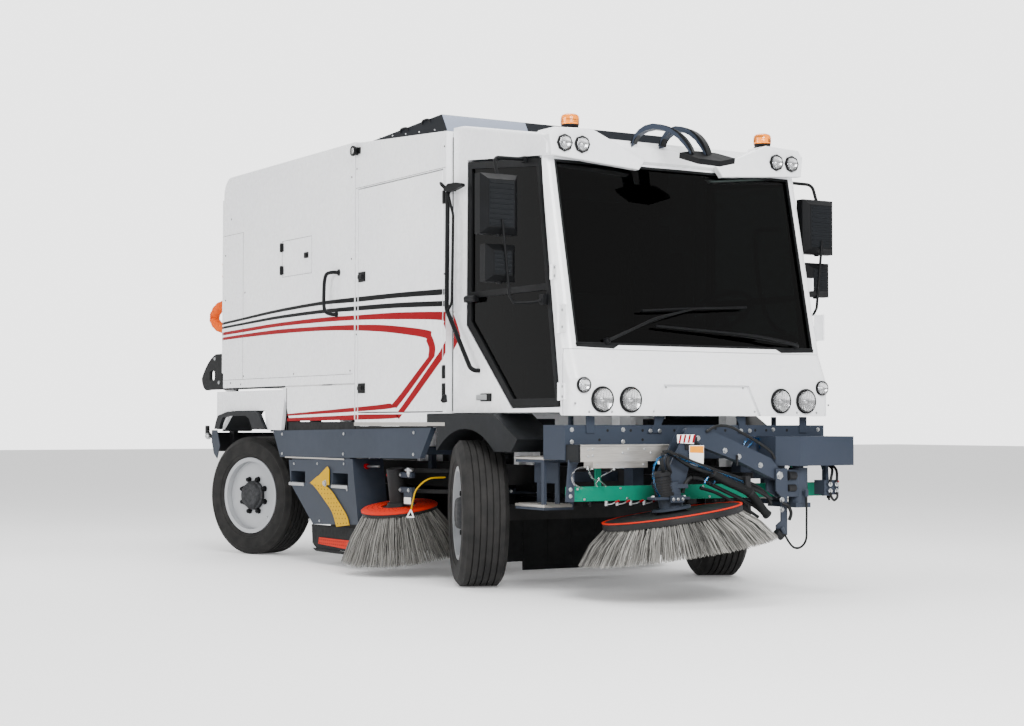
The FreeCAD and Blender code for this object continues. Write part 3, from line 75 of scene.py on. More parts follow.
def startMaterial(name, settings):
    material = bpy.data.materials.new(name)
    material.use_nodes = True
    tree = material.node_tree
    tree.nodes.clear()
    shader = addNode(tree, "ShaderNodeBsdfPrincipled", settings)
    addNode(tree, "ShaderNodeOutputMaterial", links={"Surface": shader.outputs["BSDF"]})
    place = addNode(tree, "ShaderNodeTexCoord").outputs["Object"]
    return material, tree, shader, place


def blotches(tree, place, sizeMm, detail=3):
    noise = addNode(tree, "ShaderNodeTexNoise", {"Scale": perMetre(sizeMm), "Detail": detail}, {"Vector": place})
    return noise.outputs["Fac"]


def twoTone(tree, shader, factor, dark, light, low=0.35, high=0.65):
    ramp = addNode(tree, "ShaderNodeValToRGB", links={"Fac": factor})
    ramp.color_ramp.elements[0].position = low
    ramp.color_ramp.elements[1].position = high
    ramp.color_ramp.elements[0].color = linear(dark)
    ramp.color_ramp.elements[1].color = linear(light)
    tree.links.new(ramp.outputs["Color"], shader.inputs["Base Color"])
    return ramp.outputs["Color"]


def roughen(tree, shader, height, depthMm, strength=0.3):
    bump = addNode(tree, "ShaderNodeBump", {"Strength": strength, "Distance": depthMm / 1000}, {"Height": height})
    tree.links.new(bump.outputs["Normal"], shader.inputs["Normal"])


def spread(tree, shader, factor, low, high):
    span = addNode(tree, "ShaderNodeMapRange", {"To Min": low, "To Max": high}, {"Value": factor})
    tree.links.new(span.outputs["Result"], shader.inputs["Roughness"])


# sprayed and stoved polyurethane enamel on steel sheet: glossy, with a shallow orange peel,
# and a grey-brown tint in patches that grows darker towards the ground
def sprayedEnamel(name, colour, shade, roughness=0.28, coat=0.35, metallic=0.0, gloss=0.5, lowTint="#77726A"):
    look = {"peelMm": 14, "peelDepthMm": 0.12, "shadeMm": 900, "lowTintMm": 60, "lowTintTop": 1.1}
    paint = {"Metallic": metallic, "Coat Weight": coat, "Coat Roughness": 0.08, "IOR": 1.5,
             "Specular IOR Level": gloss}
    material, tree, shader, place = startMaterial(name, paint)
    base = twoTone(tree, shader, blotches(tree, place, look["shadeMm"]), shade, colour)
    # the tint grows from none at 1.1 m up to its most at the ground, broken into patches
    height = addNode(tree, "ShaderNodeSeparateXYZ", links={0: place}).outputs["Z"]
    low = addNode(tree, "ShaderNodeMapRange", {"From Min": look["lowTintTop"], "From Max": 0.0, "To Max": 0.16},
                  {"Value": height}).outputs["Result"]
    patches = blotches(tree, place, look["lowTintMm"], 6)
    amount = addNode(tree, "ShaderNodeMath", {"operation": "MULTIPLY"}, {0: low, 1: patches}).outputs[0]
    lowTinted = addNode(tree, "ShaderNodeMix", {"data_type": "RGBA", "clamp_factor": True, 7: linear(lowTint)},
                    {0: amount, 6: base})
    tree.links.new(lowTinted.outputs[2], shader.inputs["Base Color"])
    spread(tree, shader, patches, roughness - 0.05, roughness + 0.12)
    roughen(tree, shader, blotches(tree, place, look["peelMm"], 1), look["peelDepthMm"], 0.15)
    return material


# injection-moulded ABS with a fine leather grain, drawn at 3 mm so that it shows
def mouldedAbs(name, colour, shade, roughness=0.5):
    look = {"grainMm": 3, "grainDepthMm": 0.25, "shadeMm": 250}
    material, tree, shader, place = startMaterial(name, {"IOR": 1.53, "Specular IOR Level": 0.12})
    twoTone(tree, shader, blotches(tree, place, look["shadeMm"]), shade, colour)
    grain = addNode(tree, "ShaderNodeTexVoronoi", {"Scale": perMetre(look["grainMm"])}, {"Vector": place})
    roughen(tree, shader, grain.outputs["Distance"], look["grainDepthMm"], 0.25)
    spread(tree, shader, blotches(tree, place, 40), roughness - 0.06, roughness + 0.08)
    return material


# vulcanised rubber: matt, with a grey bloom of dust in its pores
def vulcanisedRubber(name, colour, bloom, poreMm=5, roughness=0.72):
    material, tree, shader, place = startMaterial(name, {"IOR": 1.52, "Specular IOR Level": 0.14})
    twoTone(tree, shader, blotches(tree, place, 90, 6), colour, bloom, 0.3, 0.75)
    roughen(tree, shader, blotches(tree, place, poreMm, 2), 0.5, 0.35)
    spread(tree, shader, blotches(tree, place, 30), roughness - 0.1, roughness + 0.12)
    return material


# bare or plated metal; stretch draws the brushing along X
def bareMetal(name, colour, shade, roughness, stretch=1.0, grainMm=2.5, depthMm=0.1):
    material, tree, shader, place = startMaterial(name, {"Metallic": 1.0})
    mapping = addNode(tree, "ShaderNodeMapping", {"Scale": (1 / stretch, 1, 1)}, {"Vector": place})
    grain = blotches(tree, mapping.outputs["Vector"], grainMm, 4)
    twoTone(tree, shader, grain, shade, colour, 0.3, 0.7)
    spread(tree, shader, grain, roughness - 0.06, roughness + 0.1)
    roughen(tree, shader, grain, depthMm, 0.2)
    return material


# sand-cast iron: coarse grain, nearly matt
def castIron(name, colour, shade):
    material, tree, shader, place = startMaterial(name, {"Metallic": 0.6})
    twoTone(tree, shader, blotches(tree, place, 25, 5), shade, colour)
    roughen(tree, shader, blotches(tree, place, 4, 3), 0.6, 0.5)
    spread(tree, shader, blotches(tree, place, 18), 0.5, 0.75)
    return material


# float glass or polycarbonate: clear volume with a very faint wave in its face
def clearSheet(name, colour, roughness=0.02, ior=1.5, waveMm=260):
    sheet = {"Base Color": linear(colour), "Transmission Weight": 1.0, "Roughness": roughness, "IOR": ior}
    material, tree, shader, place = startMaterial(name, sheet)
    roughen(tree, shader, blotches(tree, place, waveMm, 1), 0.4, 0.05)
    return material


# extruded polypropylene bristle: each one its own grey
def bristleFibre(name, dark, light):
    material, tree, shader, place = startMaterial(name, {"IOR": 1.49, "Roughness": 0.55})
    each = addNode(tree, "ShaderNodeNewGeometry").outputs["Random Per Island"]
    twoTone(tree, shader, each, dark, light, 0.05, 0.95)
    roughen(tree, shader, blotches(tree, place, 6, 2), 0.3, 0.3)
    return material


# cast vinyl film on paint: smooth, a touch duller than the coat under it
def vinylFilm(name, colour, shade):
    material, tree, shader, place = startMaterial(name, {"IOR": 1.52, "Specular IOR Level": 0.05})
    twoTone(tree, shader, blotches(tree, place, 300), shade, colour)
    spread(tree, shader, blotches(tree, place, 80), 0.26, 0.36)
    roughen(tree, shader, blotches(tree, place, 14, 1), 0.1, 0.1)
    return material


# woven polyester seat cover, threads drawn at 4 mm
def wovenCover(name, colour, shade, threadMm=4):
    material, tree, shader, place = startMaterial(name, {"Roughness": 0.9, "Sheen Weight": 0.3})
    warp = addNode(tree, "ShaderNodeTexWave", {"Scale": perMetre(threadMm) / 6.3, "bands_direction": "X"},
                   {"Vector": place}).outputs["Fac"]
    weft = addNode(tree, "ShaderNodeTexWave", {"Scale": perMetre(threadMm) / 6.3, "bands_direction": "Z"},
                   {"Vector": place}).outputs["Fac"]
    cloth = addNode(tree, "ShaderNodeMath", {"operation": "MULTIPLY"}, {0: warp, 1: weft}).outputs[0]
    twoTone(tree, shader, cloth, shade, colour, 0.1, 0.9)
    roughen(tree, shader, cloth, 0.6, 0.5)
    return material


# matt studio paper, slightly clouded
def studioPaper(name, colour, shade):
    paper = {"Roughness": 0.85, "Emission Color": linear("#FFFFFF"), "Emission Strength": 0.15}
    material, tree, shader, place = startMaterial(name, paper)
    twoTone(tree, shader, blotches(tree, place, 2600), shade, colour)
    return material


finish = {
    "white": sprayedEnamel("whiteEnamel", "#F8F9FA", "#F1F2F5", 0.24, 0.5),
    "slate": sprayedEnamel("slateEnamel", "#2F3642", "#2A313C", 0.42, 0, gloss=0.12),
    "paleSlate": sprayedEnamel("paleSlateEnamel", "#8B93A3", "#828A9A", 0.42, 0, gloss=0.2),
    "darkSlate": sprayedEnamel("darkSlateEnamel", "#15181D", "#121519", 0.45, 0, gloss=0.1),
    "green": sprayedEnamel("greenEnamel", "#00735A", "#006A53", 0.4, 0, gloss=0.08),
    "yellow": sprayedEnamel("yellowEnamel", "#C89C00", "#BC9200", 0.42, 0, gloss=0.04),
    "orange": sprayedEnamel("orangeEnamel", "#CC2404", "#BC1F03", 0.45, 0, gloss=0.06),
    "hoseOrange": mouldedAbs("orangeHosePlastic", "#E4600C", "#D65408", 0.5),
    "blackSteel": sprayedEnamel("blackChassisEnamel", "#1B1C1F", "#141517", 0.5, 0, gloss=0.12),
    "rim": sprayedEnamel("silverWheelEnamel", "#AEB0B3", "#94979B", 0.36, 0.1, 0.45),
    "blackPlastic": mouldedAbs("blackAbs", "#101113", "#0B0C0D", 0.5),
    "greyPlastic": mouldedAbs("greyAbs", "#16181B", "#121416", 0.48),
    "tyre": vulcanisedRubber("tyreRubber", "#1C1C1C", "#2B2A29"),
    "seal": vulcanisedRubber("sealRubber", "#0F1011", "#1A1B1C", 4, 0.6),
    "hose": vulcanisedRubber("hoseRubber", "#131415", "#232425", 4, 0.5),
    "airHose": clearSheet("blueAirHose", "#0A8FE0", 0.25, 1.45),
    "stainless": bareMetal("brushedStainless", "#CFCBC5", "#B4B0AA", 0.34, 30),
    "zinc": bareMetal("zincPlate", "#C9CBCC", "#A9ABAD", 0.32),
    "chrome": bareMetal("hardChrome", "#E9EAEC", "#DADBDD", 0.08, 1, 30, 0.02),
    "iron": castIron("castIron", "#3B3C3E", "#28292B"), "glass": clearSheet("tintedGlass", "#262C2B", 0.02, 1.25),
    "lens": clearSheet("clearPolycarbonate", "#FAFAFA", 0.02, 1.58, 12),
    "amber": clearSheet("amberPolycarbonate", "#FF8A0A", 0.12, 1.58, 12),
    "ruby": clearSheet("redPolycarbonate", "#D5141A", 0.12, 1.58, 12),
    "bristle": bristleFibre("greyBristle", "#19191A", "#B5B3AD"),
    "stripeRed": vinylFilm("redVinyl", "#86000E", "#7F000C"),
    "stripeBlack": vinylFilm("blackVinyl", "#0C0D0E", "#090A0B"),
    "signWhite": vinylFilm("whiteVinyl", "#F5F4F0", "#ECEBE7"),
    "signOrange": vinylFilm("orangeVinyl", "#F39A12", "#E88C0A"),
    "cover": wovenCover("seatWeave", "#3A3B40", "#1F2023"), "paper": studioPaper("palePaper", "#F6F6F6", "#F2F2F2"),
}
print("finishes mixed:", len(finish))

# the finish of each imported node, by the first words of its name
nodeFinish = {
    "axle": "blackSteel", "brush_housing": "blackSteel", "bumper_beam": "slate", "cab_glass": "glass",
    "cab_rails": "blackPlastic", "cab_roof": "white", "cab_shell": "white", "cab_steps": "slate",
    "chassis_frame": "blackSteel", "cross_brush": "bristle", "dashboard": "blackPlastic", "door_glass": "glass",
    "door_mirrors": "blackPlastic", "door": "blackPlastic", "engine_bay": "white", "engine_block": "iron",
    "engine_door": "white", "front_arm": "slate", "front_brush": "bristle", "front_brush_head": "slate",
    "frame_members": "blackSteel", "front_panel": "white", "hopper": "white", "knuckle": "iron", "lamps": "lens",
    "lift_barrels": "blackSteel", "lift_rods": "chrome", "lower_panels": "white", "loop_hose": "hose",
    "rear_horns": "seal", "rim": "rim", "roof_cowl": "darkSlate", "seats": "cover", "side_arm": "blackSteel",
    "side_brush": "bristle", "side_skirts": "slate", "spray_bar": "green", "tyre": "tyre", "valve_box": "stainless",
    "wheel_arches": "greyPlastic",
}


def dressNodes():
    for name, thing in nodes.items():
        best = max((key for key in nodeFinish if name.startswith(key)), key=len)
        for place in thing.material_slots:
            place.material = finish[nodeFinish[best]]


dressNodes()
print("nodes dressed")


def placeCamera():
    view = {"at": (-7.06, -11.739, 1.06), "yaw": 31.36, "pitch": 1.86, "roll": 0.07, "lens": 65.25}
    data = bpy.data.cameras.new("camera")
    data.lens = view["lens"]
    data.sensor_width = 36
    data.clip_end = 200
    camera = bpy.data.objects.new("camera", data)
    turn = Matrix.Rotation(math.radians(-view["yaw"]), 4, "Z") @ Matrix.Rotation(
        math.radians(90 + view["pitch"]), 4, "X") @ Matrix.Rotation(math.radians(view["roll"]), 4, "Z")
    camera.matrix_world = Matrix.Translation(view["at"]) @ turn
    bpy.context.scene.collection.objects.link(camera)
    bpy.context.scene.camera = camera


def lightStudio():
    world = bpy.data.worlds.new("studio")
    world.use_nodes = True
    tree = world.node_tree
    back = tree.nodes["Background"]
    back.inputs["Color"].default_value = linear("#FFFFFF")
    # the far wall is lit, the room behind the camera is dim
    sky = addNode(tree, "ShaderNodeTexCoord").outputs["Generated"]
    facing = addNode(tree, "ShaderNodeVectorMath", {"operation": "DOT_PRODUCT", 1: (0.5, 0.86, 0.1)}, {0: sky})
    level = addNode(tree, "ShaderNodeMapRange", {"From Min": 0.55, "From Max": 0.88, "To Min": 0.75, "To Max": 3.2},
                    {"Value": facing.outputs["Value"]})
    tree.links.new(level.outputs["Result"], back.inputs["Strength"])
    bpy.context.scene.world = world
    # name, place, where it points, size, watts
    panels = [
        ("front", (-3.0, -11.0, 6.5), (0, -2.5, 1.2), 6.0, 1700),
        ("side", (-11.0, 0.5, 5.0), (-1, 0.5, 1.4), 6.0, 560),
        ("top", (0, 0, 9.0), (0, 0, 1), 7.0, 700),
    ]
    for name, place, aim, size, watts in panels:
        light = bpy.data.lights.new(name, "AREA")
        light.shape = "RECTANGLE"
        light.size = size
        light.size_y = size * 0.7
        light.energy = watts
        lamp = bpy.data.objects.new(name, light)
        lamp.location = place
        lamp.rotation_euler = (Vector(aim) - Vector(place)).to_track_quat("-Z", "Y").to_euler()
        bpy.context.scene.collection.objects.link(lamp)


def layFloor():
    plane = bmesh.new()
    bmesh.ops.create_grid(plane, x_segments=4, y_segments=4, size=60)
    data = bpy.data.meshes.new("floor")
    plane.to_mesh(data)
    plane.free()
    data.materials.append(finish["paper"])
    floor = bpy.data.objects.new("floor", data)
    bpy.context.scene.collection.objects.link(floor)


# makers of the added pieces; every place is measured from the front axle's line
joints = {joint["name"]: joint for joint in frame["joints"]}
axleY = joints["steer_front_right"]["pos_m"][1]


def at(x, y, z):
    return Vector((x, y + axleY, z))


forward = Vector((0, -1, 0))


# places given as they are on the left side, for the side that is asked for
def placed(points, side=1):
    return [at(side * x, y, z) for x, y, z in points]


def newMeshes(count):
    return [bmesh.new() for k in range(count)]


def finishPiece(mesh, name, colour, body="chassis", replaced=(), crease=35):
    bmesh.ops.recalc_face_normals(mesh, faces=mesh.faces)
    data = bpy.data.meshes.new(name)
    mesh.to_mesh(data)
    mesh.free()
    data.materials.append(finish[colour])
    data.shade_smooth()
    data.set_sharp_from_angle(angle=math.radians(crease))
    piece = bpy.data.objects.new(name, data)
    bpy.context.scene.collection.objects.link(piece)
    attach(piece, body)
    if replaced:
        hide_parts(*replaced)
    return piece


# finishes several pieces of one body; word tells the right one from the left
def finishPieces(pieces, body="chassis", word=""):
    for name, (mesh, colour) in pieces.items():
        finishPiece(mesh, f"{name}_{word}" if word else name, colour, body)


def frameAlong(axis):
    along = Vector(axis).normalized()
    first = along.orthogonal().normalized()
    return along, first, along.cross(first)


# turns a profile of (distance along the axis, radius); a closed profile makes a ring
def addLathe(mesh, origin, axis, profile, sides=32, closed=False):
    along, first, second = frameAlong(axis)
    rings = []
    for reach, radius in profile:
        middle = origin + along * reach
        if radius == 0:
            rings.append([mesh.verts.new(middle)] * sides)
            continue
        ring = []
        for k in range(sides):
            turn = math.tau * k / sides
            ring.append(mesh.verts.new(middle + (first * math.cos(turn) + second * math.sin(turn)) * radius))
        rings.append(ring)
    pairs = list(zip(rings, rings[1:]))
    if closed:
        pairs.append((rings[-1], rings[0]))
    for low, high in pairs:
        for k in range(sides):
            n = (k + 1) % sides
            corners = list(dict.fromkeys([low[k], low[n], high[n], high[k]]))
            if len(corners) > 2:
                mesh.faces.new(corners)
    if not closed:
        for ring in (rings[0], rings[-1]):
            if len(set(ring)) > 2:
                mesh.faces.new(ring)


def addRod(mesh, a, b, radius, sides=16, edge=0.15):
    length = (b - a).length
    cut = min(radius * edge, length * 0.3)
    addLathe(mesh, a, b - a, [(0, radius - cut), (cut, radius), (length - cut, radius), (length, radius - cut)],
             sides)


def addHull(mesh, points):
    made = [mesh.verts.new(p) for p in points]
    found = bmesh.ops.convex_hull(mesh, input=made)
    spare = [v for v in found["geom_interior"] if isinstance(v, bmesh.types.BMVert)]
    bmesh.ops.delete(mesh, geom=spare, context="VERTS")
    faces = [f for f in found["geom"] if isinstance(f, bmesh.types.BMFace)]
    # dict.fromkeys keeps the order, which a set would change from run to run
    bmesh.ops.dissolve_limit(mesh, angle_limit=0.01, verts=list(dict.fromkeys(v for f in faces for v in f.verts)),
                             edges=list(dict.fromkeys(e for f in faces for e in f.edges)))


def addBlock(mesh, low, high, edge=0.003):
    edge = min([edge] + [(h - n) * 0.3 for n, h in zip(low, high)])
    points = []
    for corner in range(8):
        ends = [(low, high)[corner >> k & 1][k] for k in range(3)]
        inward = [edge if corner >> k & 1 == 0 else -edge for k in range(3)]
        for kept in range(3):
            points.append(Vector([ends[k] if k == kept else ends[k] + inward[k] for k in range(3)]))
    addHull(mesh, points)


# a flat outline pushed along one direction, with its edges eased
def addPlate(mesh, outline, push, edge=0.0):
    own = bmesh.new()
    base = [own.verts.new(p) for p in outline]
    top = [own.verts.new(p + push) for p in outline]
    own.faces.new(base)
    own.faces.new(top)
    for k in range(len(base)):
        n = (k + 1) % len(base)
        own.faces.new((base[k], base[n], top[n], top[k]))
    bmesh.ops.recalc_face_normals(own, faces=own.faces)
    if edge:
        bmesh.ops.bevel(own, geom=list(own.edges), offset=edge, segments=1, affect="EDGES", clamp_overlap=True)
    addMesh(mesh, own)


def addMesh(mesh, own):
    data = bpy.data.meshes.new("part")
    own.to_mesh(data)
    own.free()
    mesh.from_mesh(data)
    bpy.data.meshes.remove(data)


# a block between (y, z) corners, from x0 to x1 out from the middle
def sideBlock(mesh, side, x0, x1, low, high, edge=0.002):
    a, b = sorted((side * x0, side * x1))
    addBlock(mesh, at(a, *low), at(b, *high), edge)


# a flat (y, z) outline at x out from the middle
def sidePlan(mesh, side, x, outline, thick, edge=0.0):
    addPlate(mesh, [at(side * x, y, z) for y, z in outline], Vector((side * thick, 0, 0)), edge)


# points of a smooth line through the given ones
def curveThrough(points, steps):
    points = [Vector(p) for p in points]
    line = []
    for k in range(len(points) - 1):
        a, b = points[k], points[k + 1]
        before = points[k - 1] if k else a * 2 - b
        after = points[k + 2] if k + 2 < len(points) else b * 2 - a
        for step in range(steps):
            t = step / steps
            line.append(0.5 * (2 * a + (b - before) * t + (2 * before - 5 * a + 4 * b - after) * t * t
                               + (3 * a - before - 3 * b + after) * t ** 3))
    return line + [points[-1]]


def addTube(mesh, points, radius, sides=10, steps=6, radii=None):
    line = curveThrough(points, steps)
    sideways = None
    rings = []
    for k, middle in enumerate(line):
        ahead = (line[min(k + 1, len(line) - 1)] - line[max(k - 1, 0)]).normalized()
        if sideways is None:
            sideways = ahead.orthogonal().normalized()
        sideways = (sideways - ahead * sideways.dot(ahead)).normalized()
        up = ahead.cross(sideways)
        wide = radii(k / (len(line) - 1)) if radii else radius
        rings.append([mesh.verts.new(middle + (sideways * math.cos(math.tau * n / sides)
                                               + up * math.sin(math.tau * n / sides)) * wide) for n in range(sides)])
    for low, high in zip(rings, rings[1:]):
        for n in range(sides):
            m = (n + 1) % sides
            mesh.faces.new((low[n], low[m], high[m], high[n]))
    mesh.faces.new(rings[0])
    mesh.faces.new(rings[-1])


def addBolt(mesh, foot, axis, flats=0.017, high=0.008):
    radius = flats / math.sqrt(3)
    along = Vector(axis).normalized()
    profile = [(0, radius * 1.35), (0.003, radius * 1.35), (0.003, radius), (high * 0.8, radius),
               (high, radius * 0.86)]
    addLathe(mesh, foot - along * 0.001, axis, profile, 6)


def addBolts(mesh, places, axis, flats, high, side=1):
    for foot in placed(places, side):
        addBolt(mesh, foot, axis, flats, high)


# a film laid over a band of flat pieces, with a real thickness
def addFilm(mesh, patches, push):
    own = bmesh.new()
    for patch in patches:
        own.faces.new([own.verts.new(p) for p in patch])
    bmesh.ops.remove_doubles(own, verts=own.verts, dist=0.0001)
    base, rim = list(own.faces), [e for e in own.edges if len(e.link_faces) == 1]
    twins = {v: own.verts.new(v.co + push) for v in list(own.verts)}
    for face in base:
        own.faces.new([twins[v] for v in face.verts])
    for a, b in [e.verts for e in rim]:
        own.faces.new((a, b, twins[b], twins[a]))
    addMesh(mesh, own)


# the part of a flat patch whose coordinate on that axis is between low and high
def clipped(patch, axis, low, high):
    for limit, sign in ((low, 1), (high, -1)):
        kept = []
        for k, p in enumerate(patch):
            before = patch[k - 1]
            here, back = (p[axis] - limit) * sign, (before[axis] - limit) * sign
            if here * back < 0:
                kept.append(before.lerp(p, back / (back - here)))
            if here >= 0:
                kept.append(p)
        patch = kept
    return patch


def eachSide(make):
    for side, word in ((-1, "right"), (1, "left")):
        make(side, word)


placeCamera()

# the hose that hangs in a loop between the two fittings on the front arm's post
hoseRun = {
    "points": [(0.632, -1.39, 0.6), (0.633, -1.391, 0.507), (0.629, -1.393, 0.412), (0.628, -1.396, 0.322),
        (0.569, -1.4, 0.274), (0.494, -1.399, 0.288), (0.447, -1.395, 0.374)],
    "diameter": 0.014, "length": 0.515,
}


def hangHose():
    curve = bpy.data.curves.new("loopHose", "CURVE")
    curve.dimensions = "3D"
    curve.bevel_depth = hoseRun["diameter"] / 2
    curve.bevel_resolution = 5
    curve.resolution_u = 16
    curve.use_fill_caps = True
    line = curve.splines.new("NURBS")
    line.points.add(len(hoseRun["points"]) - 1)
    for point, place in zip(line.points, hoseRun["points"]):
        point.co = (*at(*place), 1)
    line.order_u = 3
    line.use_endpoint_u = True
    curve.materials.append(finish["hose"])
    hose = bpy.data.objects.new("loopHose", curve)
    bpy.context.scene.collection.objects.link(hose)
    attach(hose, "front_arm_base")
    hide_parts("loop_hose")


hangHose()
print("hose hung")

# wheels: ribbed tyres, hub caps, wheel nuts and valves
tyre = {
    "tread": 0.117, "radius": 0.4745, "ribs": 6, "groove": 0.009, "depth": 0.011,
    "wall": [(0.1176, 0.2864), (0.1176, 0.307), (0.129, 0.313), (0.137, 0.328), (0.139, 0.338), (0.1445, 0.34),
        (0.147, 0.354), (0.1492, 0.385), (0.1485, 0.41), (0.1465, 0.425), (0.148, 0.428), (0.1475, 0.436),
        (0.144, 0.44), (0.139, 0.45), (0.132, 0.455), (0.127, 0.463)],
}
hub = {
    "cap": [(0.0785, 0.1), (0.0785, 0.118), (0.104, 0.117), (0.112, 0.106), (0.136, 0.098), (0.144, 0.088),
        (0.146, 0.06), (0.142, 0.055), (0.142, 0.0)],
    "face": [(0.0784, 0.12), (0.0815, 0.12), (0.083, 0.19), (0.0815, 0.266), (0.0784, 0.268)], "boltCircle": 0.1375,
    "nuts": 8, "flats": 0.033, "nutLow": 0.082, "nutHigh": 0.112, "valveAt": 0.245,
}


def tyreProfile():
    rib = (2 * tyre["tread"] - (tyre["ribs"] - 1) * tyre["groove"]) / tyre["ribs"]
    tread = []
    for k in range(tyre["ribs"]):
        start = tyre["tread"] - k * (rib + tyre["groove"])
        if k:
            tread.append((start + 0.0015, tyre["radius"] - tyre["depth"]))
        tread += [(start, tyre["radius"]), (start - rib, tyre["radius"])]
        if k < tyre["ribs"] - 1:
            tread.append((start - rib - 0.0015, tyre["radius"] - tyre["depth"]))
    return tyre["wall"] + tread + [(-reach, radius) for reach, radius in reversed(tyre["wall"])]


def fitWheel(end, side, word):
    joint = joints[f"roll_{end}_{word}"]
    middle = Vector(joint["pos_m"])
    out = Vector(joint["axis"]) * side
    body = f"wheel_{end}_{word}"
    rubber, face, cap, nuts, stem = newMeshes(5)
    addLathe(rubber, middle, out, tyreProfile(), 96, closed=True)
    finishPiece(rubber, f"tyreTread_{end}_{word}", "tyre", body, [f"tyre_{end}_{word}"], 28)
    addLathe(cap, middle, out, hub["cap"], 48)
    addLathe(face, middle, out, hub["face"], 64, closed=True)
    finishPiece(face, f"wheelFace_{end}_{word}", "rim", body)
    finishPiece(cap, f"hubCap_{end}_{word}", "iron", body)
    along, first, second = frameAlong(out)
    for k in range(hub["nuts"]):
        turn = math.tau * (k + 0.5) / hub["nuts"]
        foot = middle + (first * math.cos(turn) + second * math.sin(turn)) * hub["boltCircle"]
        addBolt(nuts, foot + along * hub["nutLow"], along, hub["flats"], hub["nutHigh"] - hub["nutLow"])
    finishPiece(nuts, f"wheelNuts_{end}_{word}", "blackPlastic", body)
    foot = middle + first * hub["valveAt"]
    addTube(stem, [foot + along * 0.076, foot + along * 0.09, foot + along * 0.112 + first * 0.006], 0.004, 8)
    finishPiece(stem, f"valveStem_{end}_{word}", "zinc", body)


for end in ("front", "rear"):
    eachSide(lambda side, word: fitWheel(end, side, word))
print("wheels fitted")

# brushes: discs with their clamping rings, and strands set in rows
brushes = {
    "front": {"disc": 0.425, "root": (0.3, 0.418), "tip": (0.5, 0.606), "drop": 0.24, "strands": 4200, "skirt": 0.044,
        "width": 0.0024},
    "side": {"disc": 0.264, "root": (0.16, 0.256), "tip": (0.33, 0.444), "drop": 0.352, "strands": 2900,
        "skirt": 0.034, "width": 0.0024},
}
strandDice = random.Random(11)


def addStrand(mesh, root, tip, bow, width):
    ahead = (tip - root).normalized()
    first = ahead.orthogonal().normalized()
    second = ahead.cross(first)
    rings = []
    for middle, wide in ((root, width), ((root + tip) / 2 + bow, width * 0.9), (tip, width * 0.5)):
        rings.append([mesh.verts.new(middle + (first * math.cos(math.tau * k / 3)
                                               + second * math.sin(math.tau * k / 3)) * wide) for k in range(3)])
    for low, high in zip(rings, rings[1:]):
        for k in range(3):
            n = (k + 1) % 3
            mesh.faces.new((low[k], low[n], high[n], high[k]))
    mesh.faces.new(rings[0])
    mesh.faces.new(rings[-1])


# the node that a disc stands for has its body's name
def fitBrush(shape, body):
    joint = joints[body + "_spin"]
    middle = Vector(joint["pos_m"])
    up, first, second = frameAlong(joint["axis"])
    if up.z < 0:
        up = -up
    name = body.replace("_brush", "")
    disc, strands = newMeshes(2)
    r = shape["disc"]
    addLathe(disc, middle, up, [(-0.014, 0), (-0.014, r - 0.02), (-shape["skirt"], r - 0.012),
                                (-shape["skirt"], r + 0.002), (-0.012, r + 0.002), (-0.003, r - 0.004),
                                (0, r - 0.03), (0, 0.1), (0.012, 0.085), (0.03, 0.08), (0.03, 0)], 72)
    finishPiece(disc, name + "BrushDisc", "blackSteel", body, [body])
    for k in range(shape["strands"]):
        turn = strandDice.uniform(0, math.tau)
        out = first * math.cos(turn) + second * math.sin(turn)
        across = up.cross(out)
        depth = strandDice.random()
        rootReach = shape["root"][0] + (shape["root"][1] - shape["root"][0]) * depth
        tipReach = shape["tip"][0] + (shape["tip"][1] - shape["tip"][0]) * depth
        tipReach = min(tipReach + strandDice.gauss(0, 0.008), shape["tip"][1])
        root = middle + out * rootReach - up * (shape["skirt"] - 0.004)
        tip = middle + out * tipReach + across * strandDice.gauss(0, 0.012) \
            - up * (shape["drop"] - abs(strandDice.gauss(0, 0.008)))
        bow = (out + up) * strandDice.uniform(0.002, 0.014) + across * strandDice.gauss(0, 0.004)
        addStrand(strands, root, tip, bow, shape["width"])
    finishPiece(strands, name + "BrushStrands", "bristle", body)
    return middle, up, first, second


def addRing(mesh, middle, up, inner, outer, low, high, sides=72):
    addLathe(mesh, middle, up, [(low, inner), (high, inner), (high, outer), (low, outer)], sides, closed=True)


def fitFrontBrush():
    middle, up = fitBrush(brushes["front"], "front_brush")[:2]
    line = bmesh.new()
    r = brushes["front"]["disc"]
    addRing(line, middle, up, r - 0.012, r + 0.0035, -0.006, 0.001)
    finishPiece(line, "frontBrushLine", "orange", "front_brush")


def fitSideBrush(side, word):
    body = "side_brush_" + word
    middle, up, first, second = fitBrush(brushes["side"], body)
    ring, holes = newMeshes(2)
    r = brushes["side"]["disc"]
    addLathe(ring, middle, up, [(0.001, 0.125), (0.01, 0.128), (0.005, r - 0.006), (-0.004, r + 0.006),
                                (-0.014, r + 0.006), (-0.004, r - 0.01)], 72, closed=True)
    # painted shade: three rows of dark discs stand for the shaded insides of the ring's holes
    for row, reach in enumerate((0.155, 0.19, 0.225)):
        for k in range(36):
            turn = math.tau * (k + row / 2) / 36
            out = first * math.cos(turn) + second * math.sin(turn)
            foot = middle + out * reach + up * (0.01 - 0.005 * (reach - 0.128) / (r - 0.134))
            addRod(holes, foot - up * 0.001, foot + up * 0.001, 0.0042, 6, 0.05)
    finishPieces({"sideBrushRing": (ring, "orange"), "sideBrushRingHoles": (holes, "seal")}, body, word=word)


